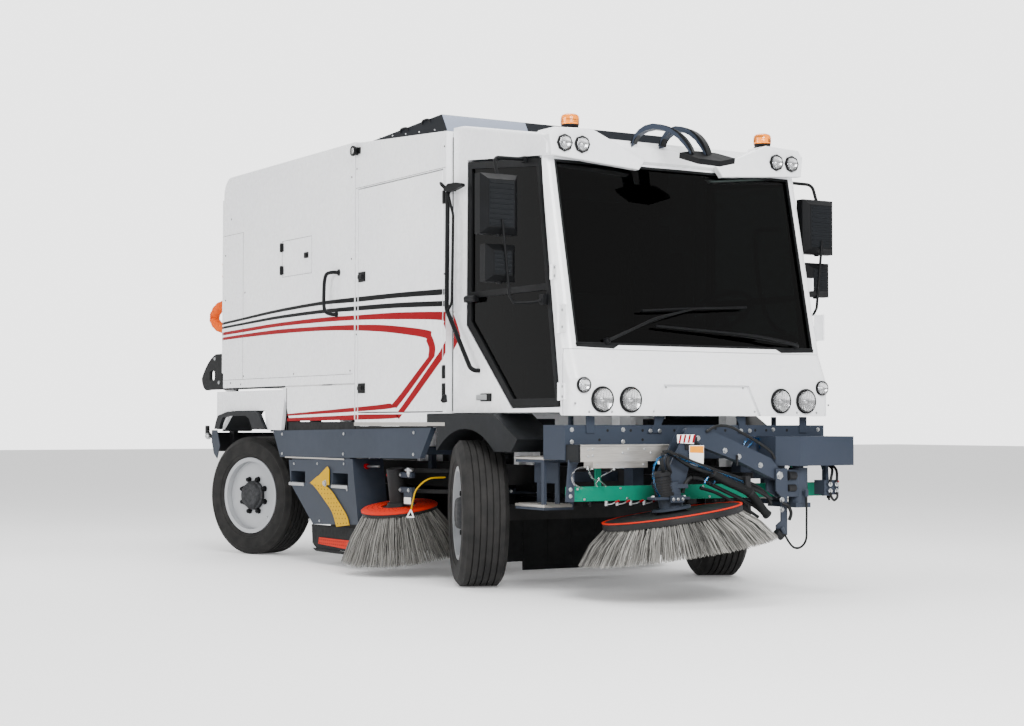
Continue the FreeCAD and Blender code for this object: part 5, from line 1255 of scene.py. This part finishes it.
# a hose is its points and its radius
armHoses = {
    "black": [([(-0.5, -1.415, 0.886), (-0.455, -1.42, 0.888), (-0.38, -1.42, 0.842), (-0.274, -1.415, 0.793),
        (-0.144, -1.41, 0.757), (-0.012, -1.405, 0.722), (0.122, -1.4, 0.684), (0.257, -1.395, 0.636),
        (0.345, -1.395, 0.59)], 0.0125), ([(-0.452, -1.405, 0.872), (-0.39, -1.405, 0.872), (-0.27, -1.4, 0.828),
        (-0.13, -1.398, 0.786), (0.01, -1.392, 0.748), (0.15, -1.388, 0.706), (0.29, -1.385, 0.64),
        (0.35, -1.385, 0.56)], 0.011), ([(-0.262, -1.385, 0.732), (-0.2, -1.385, 0.722), (-0.142, -1.382, 0.699),
        (0.005, -1.378, 0.64), (0.139, -1.375, 0.588), (0.235, -1.375, 0.545), (0.31, -1.378, 0.49)], 0.0125),
        ([(-0.19, -1.372, 0.668), (-0.08, -1.37, 0.64), (0.05, -1.368, 0.585), (0.17, -1.368, 0.53),
        (0.26, -1.37, 0.48)], 0.01), ([(-0.13, -1.355, 1.01), (-0.06, -1.375, 1.045), (0.04, -1.375, 1.04),
        (0.14, -1.37, 1.0), (0.26, -1.365, 0.945), (0.36, -1.362, 0.89), (0.4, -1.362, 0.84)], 0.009)],
    "blue": [[(-0.48, -1.425, 0.882), (-0.389, -1.432, 0.852), (-0.274, -1.43, 0.815), (-0.158, -1.425, 0.779),
        (-0.02, -1.42, 0.742), (0.11, -1.415, 0.702)], [(-0.19, -1.412, 0.7), (-0.158, -1.415, 0.735),
        (-0.093, -1.412, 0.734), (-0.105, -1.4, 0.7), (-0.145, -1.395, 0.69)]],
    "blueRadius": 0.0055,
    "sleeve": [(-0.129, 0.75), (-0.03, 0.708), (0.077, 0.668), (0.16, 0.63), (0.22, 0.57), (0.258, 0.528),
        (0.296, 0.492)],
    "sleeveY": -1.418, "sleeveRadius": 0.027,
    "clamps": [(-0.129, 0.75, 0.03), (0.16, 0.63, 0.031), (0.296, 0.492, 0.03)],
    "fork": [([(0.382, -1.396, 0.386), (0.396, -1.394, 0.375), (0.411, -1.391, 0.364), (0.43, -1.388, 0.35)], 0.022,
        14), ([(0.452, -1.372, 0.56), (0.48, -1.392, 0.545), (0.505, -1.392, 0.5), (0.5, -1.38, 0.455)], 0.011, 12)],
    "valves": [(0.52, 0.575, -1.352, 0.732, 0.026), (0.512, 0.522, -1.352, 0.732, 0.03),
        (0.515, 0.575, -1.35, 0.655, 0.022)],
}


def fitArmHoses():
    black, blue, sleeve, fittings, lower, ends = newMeshes(6)
    for points, radius in armHoses["black"]:
        addTube(black, placed(points), radius, 12)
    for points in armHoses["blue"]:
        addTube(blue, placed(points), armHoses["blueRadius"])
    y = armHoses["sleeveY"]
    addTube(sleeve, [at(x, y, z) for x, z in armHoses["sleeve"]], armHoses["sleeveRadius"], 16)
    for x, z, radius in armHoses["clamps"]:
        clamp = [(-0.006, radius - 0.004), (-0.004, radius), (0.008, radius), (0.01, radius - 0.004)]
        addLathe(fittings, at(x - 0.006, y, z + 0.006), (0.75, 0, -0.62), clamp, 20)
    addBlock(fittings, at(0.118, -1.43, 0.64), at(0.16, -1.345, 0.736), 0.006)
    finishPieces({"armHoses": (black, "hose"), "armBlueLines": (blue, "airHose"), "armSleeve": (sleeve, "seal"),
                  "armHoseFittings": (fittings, "blackSteel")}, "front_arm")
    for points, radius, sides in armHoses["fork"]:
        addTube(lower, placed(points), radius, sides)
    for x0, x1, y, z, radius in armHoses["valves"]:
        addRod(ends, at(x0, y, z), at(x1, y, z), radius, 20)
    finishPieces({"forkHoses": (lower, "hose"), "forkValves": (ends, "blackSteel")}, "front_arm_base")


brushHead = {
    "motorFoot": (-0.452, -1.362, 0.618), "motorAxis": (-0.1315, 0.068, 0.989), "fins": 5, "finPitch": 0.016,
    "motor": [(0, 0), (0, 0.062), (0.02, 0.064), (0.024, 0.056), (0.118, 0.054), (0.126, 0.06), (0.146, 0.06),
        (0.156, 0.05), (0.156, 0)],
    "plates": [((-0.461, -1.45, 0.583), (-0.366, -1.425, 0.628)), ((-0.56, -1.42, 0.6), (-0.3, -1.33, 0.618))],
    "faceBolts": [(-0.448, -1.45, 0.606), (-0.414, -1.45, 0.606), (-0.38, -1.45, 0.606)],
    "topBolts": [(-0.545, -1.375, 0.618), (-0.315, -1.375, 0.618)],
    "hoses": [[(-0.47, -1.385, 0.765), (-0.5, -1.41, 0.79), (-0.512, -1.415, 0.84), (-0.5, -1.415, 0.88)],
        [(-0.425, -1.385, 0.765), (-0.45, -1.405, 0.79), (-0.462, -1.405, 0.83), (-0.452, -1.405, 0.866)],
        [(-0.33, -1.378, 0.64), (-0.318, -1.385, 0.69), (-0.29, -1.385, 0.722), (-0.268, -1.385, 0.732)]],
    "line": [(-0.5, -1.425, 0.868), (-0.545, -1.425, 0.85), (-0.572, -1.42, 0.8), (-0.574, -1.42, 0.73),
        (-0.55, -1.412, 0.665), (-0.52, -1.405, 0.625)],
    "hoseRadius": 0.012, "lineRadius": 0.0055,
}


def fitBrushHead():
    motor, plate, bolts, hoses, line = newMeshes(5)
    foot, axis = at(*brushHead["motorFoot"]), brushHead["motorAxis"]
    addLathe(motor, foot, axis, brushHead["motor"], 28)
    for k in range(brushHead["fins"]):
        rise = brushHead["finPitch"] * k
        addLathe(motor, foot, axis, [(0.036 + rise, 0.05), (0.037 + rise, 0.059), (0.044 + rise, 0.059),
                                     (0.045 + rise, 0.05)], 28, closed=True)
    for low, high in brushHead["plates"]:
        addBlock(plate, at(*low), at(*high), 0.004)
    addBolts(bolts, brushHead["faceBolts"], forward, 0.014, 0.008)
    addBolts(bolts, brushHead["topBolts"], (0, 0, 1), 0.018, 0.01)
    for points in brushHead["hoses"]:
        addTube(hoses, placed(points), brushHead["hoseRadius"], 12)
    addTube(line, placed(brushHead["line"]), brushHead["lineRadius"])
    finishPieces({"motorHoses": (hoses, "hose"), "motorBlueLine": (line, "airHose"),
                  "brushMotor": (motor, "blackSteel"), "brushHeadPlates": (plate, "slate"),
                  "brushHeadBolts": (bolts, "zinc")}, "front_brush_head")


valveHoses = {
    "runs": [([(0.88, -1.3, 0.8), (0.884, -1.345, 0.77), (0.85, -1.376, 0.72), (0.838, -1.372, 0.674)], 0.009),
        ([(0.915, -1.3, 0.8), (0.918, -1.345, 0.765), (0.898, -1.376, 0.715), (0.892, -1.372, 0.674)], 0.009),
        ([(0.838, -1.378, 0.632), (0.84, -1.388, 0.595), (0.865, -1.386, 0.572), (0.89, -1.388, 0.595),
        (0.892, -1.378, 0.632)], 0.008)],
    "unions": [(0.838, 0.632), (0.892, 0.632), (0.838, 0.674), (0.892, 0.674)],
    "union": [(0, 0.016), (0.012, 0.016), (0.012, 0.011), (0.022, 0.01), (0.022, 0)],
}


def fitCoverHoses():
    black, red, fittings = newMeshes(3)
    for points, radius in valveHoses["runs"]:
        addTube(black, placed(points), radius, 12)
    for x, z in valveHoses["unions"]:
        addLathe(fittings, at(x, -1.37, z), forward, valveHoses["union"], 6)
    addRod(red, at(0.905, -1.364, 0.69), at(0.905, -1.378, 0.69), 0.01, 14)
    finishPieces({"valveHoses": (black, "hose"), "valveCap": (red, "stripeRed"),
                  "valveFittings": (fittings, "chrome")})


stepGear = {
    "gussets": [((-0.868, 0.69), (-0.59, 0.82)), ((-0.868, 0.56), (-0.826, 0.695)), ((-0.668, 0.56), (-0.62, 0.695))],
    "gussetX": (0.88, 0.894), "treadX": (0.8, 1.01), "treads": (0.56, 0.85), "slats": 8, "slatPitch": 0.041,
    "strips": 6, "stripWide": 0.2, "stripFoot": 0.06, "endFoot": 0.12,
}


# foot plates, bright treads and the rubber strips behind the front axle
def fitStepGear():
    gusset, tread, strips, bar, bolts = newMeshes(5)
    for side in (-1, 1):
        for low, high in stepGear["gussets"]:
            sideBlock(gusset, side, *stepGear["gussetX"], low, high, 0.003)
        x0, x1 = sorted(side * x for x in stepGear["treadX"])
        for z in stepGear["treads"]:
            addBlock(tread, at(x0, -0.886, z - 0.014), at(x1, -0.546, z + 0.004), 0.004)
            for k in range(stepGear["slats"]):
                y = stepGear["slatPitch"] * k
                addBlock(tread, at(x0 + 0.01, -0.876 + y, z + 0.003), at(x1 - 0.01, -0.862 + y, z + 0.008), 0.002)
    # rubber strips hung under a clamping bar
    for k in range(stepGear["strips"]):
        x = -0.6 + stepGear["stripWide"] * k
        foot = stepGear["endFoot"] if k in (0, stepGear["strips"] - 1) else stepGear["stripFoot"]
        addBlock(strips, at(x + 0.0005, 0.346, foot), at(x + stepGear["stripWide"] - 0.0005, 0.354, 0.64), 0.002)
        addBolt(bolts, at(x + 0.1, 0.336, 0.6), forward, 0.017, 0.008)
    addBlock(bar, at(-0.6, 0.336, 0.58), at(0.6, 0.346, 0.622), 0.003)
    finishPieces({"stepGussets": (gusset, "slate"), "cabStepTreads": (tread, "stainless"),
                  "axleStrips": (strips, "seal"), "stripBar": (bar, "slate"), "stripBolts": (bolts, "zinc")})


fitBumper()
fitValveBox()
fitSprayBar()
fitLooseLines()
fitSigns()
fitArm()
fitArmHoses()
fitBrushHead()
fitCoverHoses()
fitStepGear()
print("front end fitted")

# all places of a side are (y, z) on the hopper's wall, at face out from the middle
hopperSide = {
    "face": 1.0495,
    "seams": [((1.64, 1.4145), (4.05, 1.4175)), ((3.648, 1.42), (3.652, 2.62)), ((3.652, 2.618), (4.05, 2.621)),
        ((2.342, 2.198), (2.88, 2.201)), ((2.342, 2.479), (2.88, 2.482)), ((2.878, 2.201), (2.881, 2.48)),
        ((2.341, 2.201), (2.344, 2.48))],
    "screws": [(3.689, 1.375), (3.632, 1.442), (2.656, 1.438), (1.681, 1.441), (1.665, 2.253), (3.612, 2.123),
        (4.02, 2.455), (4.02, 2.081), (1.665, 2.85), (3.9, 2.75), (3.9, 1.39)],
    "screw": [(0, 0.007), (0.0025, 0.007), (0.004, 0.004), (0.004, 0)],
    "tube": [(1.048, 1.872, 2.168), (1.085, 1.905, 2.17), (1.105, 1.965, 2.16), (1.108, 1.995, 2.11),
        (1.108, 2.005, 2.02), (1.108, 2.005, 1.94), (1.105, 1.985, 1.885), (1.085, 1.93, 1.862),
        (1.048, 1.906, 1.862)],
    "tubeRadius": 0.0135, "tubeFeet": [(1.872, 2.168), (1.906, 1.862)],
    "foot": [(0, 0), (0, 0.026), (0.006, 0.024), (0.008, 0.014), (0.008, 0)], "hinges": (2.431, 2.252),
    "lock": [(1.0495, 1.062, (2.395, 2.318), (2.462, 2.362), 0.005), (1.061, 1.067, (2.408, 2.328), (2.45, 2.35),
        0.002)],
    "door": (1.0495, 1.0515, (2.35, 2.206), (2.872, 2.474), 0.001),
}


def fitHopperSide(side, word):
    lines, screws, tube, fittings, panel = newMeshes(5)
    out, face = Vector((side, 0, 0)), hopperSide["face"]
    for low, high in hopperSide["seams"]:
        sideBlock(lines, side, face, 1.0507, low, high, 0.0003)
    for y, z in hopperSide["screws"]:
        addLathe(screws, at(side * 1.0496, y, z), out, hopperSide["screw"], 12)
    addTube(tube, placed(hopperSide["tube"], side), hopperSide["tubeRadius"], 12)
    for y, z in hopperSide["tubeFeet"]:
        addLathe(tube, at(side * face, y, z), out, hopperSide["foot"], 20)
    for z in hopperSide["hinges"]:
        sideBlock(fittings, side, face, 1.066, (2.848, z - 0.032), (2.9, z + 0.032), 0.006)
        addRod(fittings, at(side * 1.064, 2.874, z - 0.036), at(side * 1.064, 2.874, z + 0.036), 0.009, 12)
    for block in hopperSide["lock"]:
        sideBlock(fittings, side, *block)
    sideBlock(panel, side, *hopperSide["door"])
    finishPieces({"hopperSeams": (lines, "greyPlastic"), "hopperScrews": (screws, "blackPlastic"),
                  "hopperHandTube": (tube, "blackPlastic"), "serviceDoorFittings": (fittings, "blackPlastic"),
                  "serviceDoor": (panel, "white")}, "hopper", word)


engineSide = {
    "face": 1.0495, "latches": (2.11, 1.31), "hinges": (1.4, 2.56), "lampAt": (1.575, 3.028),
    "pin": [(0, 0.012), (0.004, 0.012), (0.006, 0.008), (0.006, 0)],
    "ring": [(0, 0), (0, 0.03), (0.018, 0.03), (0.03, 0.038), (0.044, 0.038), (0.044, 0.029), (0.036, 0.027),
        (0.036, 0)],
    "lens": [(0.0365, 0), (0.0365, 0.028), (0.043, 0.028), (0.047, 0.016), (0.048, 0)],
    "ringFoot": (1.0495, 1.062, (1.52, 3.004), (1.585, 3.052), 0.003),
    "topSeam": (1.0495, 1.0507, (0.27, 2.758), (1.596, 2.761), 0.0003),
    "sill": (1.0495, 1.056, (0.266, 1.041), (1.606, 1.066), 0.003),
    "screws": [(0.285, 2.9), (0.285, 2.05), (1.58, 2.9), (1.58, 1.7)],
    "screw": [(0, 0.006), (0.003, 0.006), (0.004, 0.003), (0.004, 0)],
}


def fitEngineSide(side, word):
    latches, hinges, lines, sill, screws, ring, pane = newMeshes(7)
    out, face = Vector((side, 0, 0)), engineSide["face"]
    for z in engineSide["latches"]:
        sideBlock(latches, side, face, 1.06, (1.438, z - 0.036), (1.54, z + 0.036), 0.006)
        sideBlock(latches, side, 1.0595, 1.072, (1.462, z - 0.014), (1.53, z + 0.016), 0.004)
        addLathe(latches, at(side * 1.0595, 1.458, z), out, engineSide["pin"], 16)
    for z in engineSide["hinges"]:
        sideBlock(hinges, side, face, 1.064, (0.268, z - 0.045), (0.298, z + 0.045), 0.005)
    spot = at(side * face, *engineSide["lampAt"])
    addLathe(ring, spot, out, engineSide["ring"], 24)
    sideBlock(ring, side, *engineSide["ringFoot"])
    addLathe(pane, spot, out, engineSide["lens"], 24)
    finishPieces({"cornerLampRing": (ring, "blackPlastic"), "cornerLampLens": (pane, "lens")}, word=word)
    sideBlock(lines, side, *engineSide["topSeam"])
    sideBlock(sill, side, *engineSide["sill"])
    for y, z in engineSide["screws"]:
        addLathe(screws, at(side * 1.0496, y, z), out, engineSide["screw"], 12)
    finishPiece(latches, f"engineDoorLatches_{word}", "blackPlastic", f"engine_door_{word}")
    finishPieces({"engineDoorHinges": (hinges, "blackPlastic"), "bayTopSeam": (lines, "greyPlastic"),
                  "baySill": (sill, "stainless"), "bayScrews": (screws, "blackPlastic")}, word=word)


# skirts and step boxes: bolts, silver strip and treads, yellow and orange punched strips
punched = {
    "rear": [(2.337, 0.608), (2.301, 0.602), (2.194, 0.552), (2.07, 0.48), (1.985, 0.43), (1.931, 0.38),
        (1.879, 0.3)],
    "front": [(2.2, 0.665), (2.072, 0.601), (1.96, 0.556), (1.86, 0.492), (1.779, 0.438), (1.705, 0.382),
        (1.668, 0.322)],
    "flap": [(2.03, 0.74), (1.996, 0.716), (1.995, 0.603), (2.072, 0.595), (2.31, 0.6)],
}


# the skirt's own plates are x, outline and thickness
skirtGear = {
    "bolts": [(2.864, 0.974), (1.781, 0.982), (0.706, 0.996), (2.862, 0.822), (1.788, 0.834), (0.71, 0.847)],
    "smallBolts": [(2.64, 0.748), (2.225, 0.756), (1.776, 0.762), (2.363, 0.33), (2.184, 0.33), (1.72, 0.575)],
    "strip": (1.0495, 1.056, (1.77, 0.79), (2.8, 0.801), 0.002), "treads": [(2.458, 2.723), (1.715, 1.977)],
    "ribs": 8, "holeShares": (0.16, 0.39, 0.61, 0.84), "pivot": (1.064, 2.062, 0.614),
    "rubber": (0.985, [(2.44, 0.292), (1.7, 0.3), (1.7, 0.125), (2.34, 0.105), (2.425, 0.15)], 0.01),
    "lip": (0.994, [(2.405, 0.115), (1.74, 0.118), (1.74, 0.096), (2.34, 0.093)], 0.012),
    "orange": (0.9955, [(2.297, 0.2), (1.745, 0.202), (1.745, 0.134), (2.308, 0.15)], 0.005), "orangeHoles": 16,
    "orangePitch": 0.034,
}


def fitSkirt(side, word):
    bolts, strip, treads, yellow, holes, orange, skirt = newMeshes(7)
    out = Vector((side, 0, 0))
    for name, flats, high in (("bolts", 0.016, 0.007), ("smallBolts", 0.013, 0.006)):
        addBolts(bolts, [(1.0502, y, z) for y, z in skirtGear[name]], out, flats, high, side)
    sideBlock(strip, side, *skirtGear["strip"])
    for y0, y1 in skirtGear["treads"]:
        sideBlock(treads, side, 0.905, 1.058, (y0, 0.581), (y1, 0.604), 0.003)
        for k in range(skirtGear["ribs"]):
            y = y0 + 0.016 + (y1 - y0 - 0.032) * k / (skirtGear["ribs"] - 1)
            addRod(treads, at(side * 0.915, y, 0.604), at(side * 1.054, y, 0.604), 0.0045, 8)
    rearLine, frontLine = (curveThrough([at(side * 1.056, y, z) for y, z in punched[name]], 4)
                           for name in ("rear", "front"))
    addFilm(yellow, [[rearLine[k], rearLine[k + 1], frontLine[k + 1], frontLine[k]]
                     for k in range(len(rearLine) - 1)], out * 0.004)
    sidePlan(yellow, side, 1.06, punched["flap"], 0.004, 0.001)
    # painted shade: dark discs stand for the shaded insides of the yellow strip's punched holes
    for k in range(3, len(rearLine) - 1, 2):
        for share in skirtGear["holeShares"]:
            middle = rearLine[k].lerp(frontLine[k], share)
            addRod(holes, middle + out * 0.0035, middle + out * 0.0046, 0.0055, 8, 0.05)
    addBolts(bolts, [skirtGear["pivot"]], out, 0.034, 0.016, side)
    for name, mesh, edge in (("rubber", skirt, 0.002), ("lip", skirt, 0.002), ("orange", orange, 0.001)):
        sidePlan(mesh, side, *skirtGear[name], edge)
    # painted shade: dark discs stand for the shaded insides of the orange strip's punched holes
    for k in range(skirtGear["orangeHoles"]):
        for z in (0.16, 0.184):
            foot = at(side, 2.28 - skirtGear["orangePitch"] * k, z)
            addRod(holes, foot, foot + out * 0.0012, 0.0055, 8, 0.05)
    finishPieces({"skirtBolts": (bolts, "zinc"), "skirtStrip": (strip, "stainless"), "stepTreads": (treads, "zinc"),
                  "punchedYellow": (yellow, "yellow"), "punchedOrange": (orange, "orange"),
                  "lowerSkirt": (skirt, "seal"), "punchedHoleShade": (holes, "seal")}, word=word)


# rear arch flare, black strips painted as the shade under the panels, and the seals along their gaps
def fitArchFlareAndPaintedShade(side, word):
    flare, shade, guard = newMeshes(3)
    out = Vector((side, 0, 0))
    outer = [(4.178, 1.009), (4.15, 1.065), (4.108, 1.12), (3.895, 1.154), (3.351, 1.154), (3.252, 1.124),
             (3.19, 1.06), (3.137, 1.008)]
    inner = [(4.071, 1.009), (4.045, 1.055), (3.995, 1.105), (3.9, 1.118), (3.52, 1.118), (3.455, 1.098),
             (3.415, 1.05), (3.384, 1.008)]
    ends = [[at(side * 1.0495, y, z) for y, z in line] for line in (outer, inner)]
    addFilm(flare, [[ends[0][k], ends[0][k + 1], ends[1][k + 1], ends[1][k]] for k in range(len(outer) - 1)],
            out * 0.03)
    # painted shade: black strips along the sills, where the panels above throw shade
    sidePlan(shade, side, 1.036, [(2.775, 0.998), (1.612, 1.01), (1.612, 1.07), (2.775, 1.07)], 0.006, 0.001)
    sidePlan(shade, side, 1.036, [(1.605, 1.01), (0.46, 1.026), (0.46, 1.039), (1.605, 1.039)], 0.006, 0.001)
    sideBlock(shade, side, 1.04, 1.0512, (2.83, 1.3345), (4.05, 1.3485), 0.001)
    sidePlan(shade, side, 1.0495, [(2.792, 1.33), (2.782, 1.33), (2.776, 1.005), (2.79, 1.005)], 0.0015, 0.0003)
    sidePlan(guard, side, 1.046, [(4.3, 1.0), (4.182, 1.0), (4.12, 0.87), (4.18, 0.76), (4.25, 0.8), (4.3, 0.9)],
             0.006, 0.0015)
    finishPieces({"rearArchFlare": (flare, "greyPlastic"), "paintedPanelShadeAndSeals": (shade, "seal"),
                  "rearGuard": (guard, "slate")}, word=word)


armGear = {
    "barHeights": (0.7, 0.595), "boltPlaces": (0.935, 1.06, 1.185),
    "strut": (0.925, 0.945, (1.15, 0.56), (1.215, 0.735), 0.004),
    "valve": [((0.965, 0.93, 0.702), (0.965, 0.93, 0.752), 0.017, 16), ((0.965, 0.88, 0.735), (0.965, 0.975, 0.735),
        0.011, 14)],
    "pin": ((0.945, 1.61, 0.747), (0.945, 1.42, 0.75)), "grip": ((0.945, 1.69, 0.747), (0.945, 1.6, 0.747)),
    "tap": ((0.968, 1.245, 0.694), (0.968, 1.215, 0.694)),
    "wire": [(0.84, 0.64, 0.69), (0.96, 0.66, 0.68), (1.01, 0.735, 0.61), (1.02, 0.77, 0.53), (1.022, 0.79, 0.47)],
    "hook": [(1.022, 0.795, 0.466), (1.022, 0.85, 0.415), (1.022, 0.755, 0.418)], "wireRadius": 0.0055,
    "label": (0.9655, 0.967, (0.9, 0.5), (1.0, 0.545), 0.0004),
    "labelPlate": (0.945, 0.9658, (0.89, 0.49), (1.01, 0.58), 0.003),
}


# valves, taps, label and marking wire round the side brush's arm
def fitArmGear(side, word):
    bars, bolts, red, silver, wire, hook, label, pin, grip = newMeshes(9)
    for z in armGear["barHeights"]:
        sideBlock(bars, side, 0.93, 0.965, (0.9, z - 0.02), (1.215, z + 0.02), 0.005)
        addBolts(bolts, [(0.965, y, z) for y in armGear["boltPlaces"]], (side, 0, 0), 0.019, 0.009, side)
    sideBlock(bars, side, *armGear["strut"])
    for a, b, radius, sides in armGear["valve"]:
        addRod(silver, *placed((a, b), side), radius, sides)
    addRod(pin, *placed(armGear["pin"], side), 0.009, 12)
    addRod(grip, *placed(armGear["grip"], side), 0.019, 14)
    finishPieces({"skirtPin": (pin, "zinc"), "skirtPinGrip": (grip, "stripeRed")}, word=word)
    addRod(red, *placed(armGear["tap"], side), 0.013, 14)
    addTube(wire, placed(armGear["wire"], side), armGear["wireRadius"], 8)
    ring = placed(armGear["hook"], side)
    for a, b in zip(ring, ring[1:] + ring[:1]):
        addTube(hook, [a, a.lerp(b, 0.5), b], armGear["wireRadius"], 8)
    sideBlock(label, side, *armGear["label"])
    sideBlock(bars, side, *armGear["labelPlate"])
    finishPieces({"armBars": (bars, "slate"), "armBarBolts": (bolts, "zinc"), "armTapGrips": (red, "stripeRed"),
                  "armValve": (silver, "zinc"), "markingWire": (wire, "yellow"), "markingHook": (hook, "signWhite"),
                  "blankLabel": (label, "signWhite")}, "side_arm_" + word, word)


rearGear = {
    "ballAt": (0.997, 4.505, 1.01), "drop": 0.062, "ballRadius": 0.03, "steps": 10,
    "hornBolts": [(1.045, 4.252, 1.602), (1.045, 4.16, 1.4)],
}


def fitRear(side, word):
    ball, bolts = newMeshes(2)
    r, steps = rearGear["ballRadius"], rearGear["steps"]
    x, y, z = rearGear["ballAt"]
    profile = [(-r * math.cos(math.pi * k / steps), r * math.sin(math.pi * k / steps)) for k in range(steps + 1)]
    profile[0], profile[-1] = (-r, 0), (r, 0)
    addLathe(ball, at(side * x, y, z) + Vector((0, 0, -rearGear["drop"])), (0, 0, 1), profile, 24)
    finishPiece(ball, f"rearMarkerBall_{word}", "zinc")
    addBolts(bolts, rearGear["hornBolts"], (side, 0, 0), 0.022, 0.01, side)
    finishPiece(bolts, f"hornBolts_{word}", "zinc", "hopper_rear_door")


rearDoor = {
    "hose": [(-0.935, 4.098, 2.055), (-0.945, 4.24, 2.06), (-0.952, 4.4, 2.04), (-0.956, 4.49, 1.96),
        (-0.952, 4.4, 1.885), (-0.945, 4.24, 1.862), (-0.935, 4.098, 1.86)],
    "rings": 260, "clamps": [(4.102, 2.055), (4.102, 1.86)],
    "clamp": [(-0.004, 0.0), (-0.004, 0.064), (0.006, 0.064), (0.01, 0.05), (0.03, 0.049), (0.03, 0)],
    "hooks": (2.4, 2.3), "ribs": (1.7, 2.2, 2.7), "latches": (-0.7, 0.7), "face": 4.0995,
    "plate": ((-0.26, 4.0995, 1.88), (0.26, 4.106, 2.0)),
}


def fitRearDoor():
    hose, bands, ribs, latches, plate = newMeshes(5)
    face = rearDoor["face"]
    addTube(hose, placed(rearDoor["hose"]), 0.042, 20, 16,
            radii=lambda s: 0.04 + 0.005 * math.cos(s * rearDoor["rings"]))
    for y, z in rearDoor["clamps"]:
        addLathe(bands, at(-0.936, y, z), (0, 1, 0), rearDoor["clamp"], 24)
    for z in rearDoor["hooks"]:
        y = 4.098
        addTube(bands, placed([(-0.96, y, z), (-0.975, y + 0.06, z + 0.006), (-0.99, y + 0.13, z)]), 0.008, 8)
    for z in rearDoor["ribs"]:
        addBlock(ribs, at(-0.82, face, z - 0.03), at(0.82, 4.122, z + 0.03), 0.008)
    for x in rearDoor["latches"]:
        addBlock(latches, at(x - 0.045, face, 1.5), at(x + 0.045, 4.135, 1.58), 0.008)
        addTube(latches, placed([(x, 4.125, 1.57), (x, 4.165, 1.56), (x, 4.168, 1.5), (x, 4.15, 1.455)]), 0.01, 10)
    addBlock(plate, *placed(rearDoor["plate"]), 0.002)
    finishPieces({"woundHose": (hose, "hoseOrange"), "woundHoseClamps": (bands, "hoseOrange"),
                  "rearDoorRibs": (ribs, "white"), "rearDoorLatches": (latches, "blackPlastic"),
                  "blankPlate": (plate, "signWhite")}, "hopper_rear_door")


cowl = {
    "loops": [(1.08, 3.132), (0.76, 3.1475)], "rivets": (0.64, 0.86, 1.06, 1.26, 1.45), "rise": 0.0673,
    "foot": (0.262, 3.03), "loopRadius": 0.006, "rivet": [(0, 0.007), (0.003, 0.006), (0.004, 0)],
}


def fitCowl(side, word):
    loops, rivets = newMeshes(2)
    for y, z in cowl["loops"]:
        addTube(loops, placed([(0.9295, y - 0.055, z - 0.02), (0.936, y - 0.045, z + 0.002), (0.938, y, z + 0.007),
                               (0.936, y + 0.045, z + 0.002), (0.9295, y + 0.055, z - 0.02)], side),
                cowl["loopRadius"], 8)
    y0, z0 = cowl["foot"]
    for y in cowl["rivets"]:
        foot = at(side * 0.9297, y, z0 + (y - y0) * cowl["rise"] + 0.012)
        addLathe(rivets, foot, (side, 0, 0), cowl["rivet"], 12)
    finishPieces({"cowlLoops": (loops, "blackPlastic"), "cowlRivets": (rivets, "zinc")}, word=word)


# a lighter sheet over the right part of the cowl's slanted front
def fitCowlFace():
    sheet = bmesh.new()
    low, high = (0.4755, 3.018), (0.4765, 3.05)
    addFilm(sheet, [[at(x0, *low), at(x1, *low), at(x1, *high), at(x0, *high)]
                    for x0, x1 in ((-0.925, -0.6), (-0.6, -0.262))]
            + [[at(x0, *high), at(x1, *high), at(x1, 0.5465, 3.1605), at(x0, 0.5465, 3.1605)]
               for x0, x1 in ((-0.925, -0.6), (-0.6, -0.262))], Vector((0, -0.0015, 0.0004)))
    finishPiece(sheet, "cowlFrontSheet", "paleSlate")


eachSide(fitHopperSide)
eachSide(fitEngineSide)
eachSide(fitSkirt)
eachSide(fitArchFlareAndPaintedShade)
eachSide(fitArmGear)
eachSide(fitRear)
fitRearDoor()
eachSide(fitCowl)
fitCowlFace()
print("sides and rear fitted")

lightStudio()
layFloor()
print("studio ready")
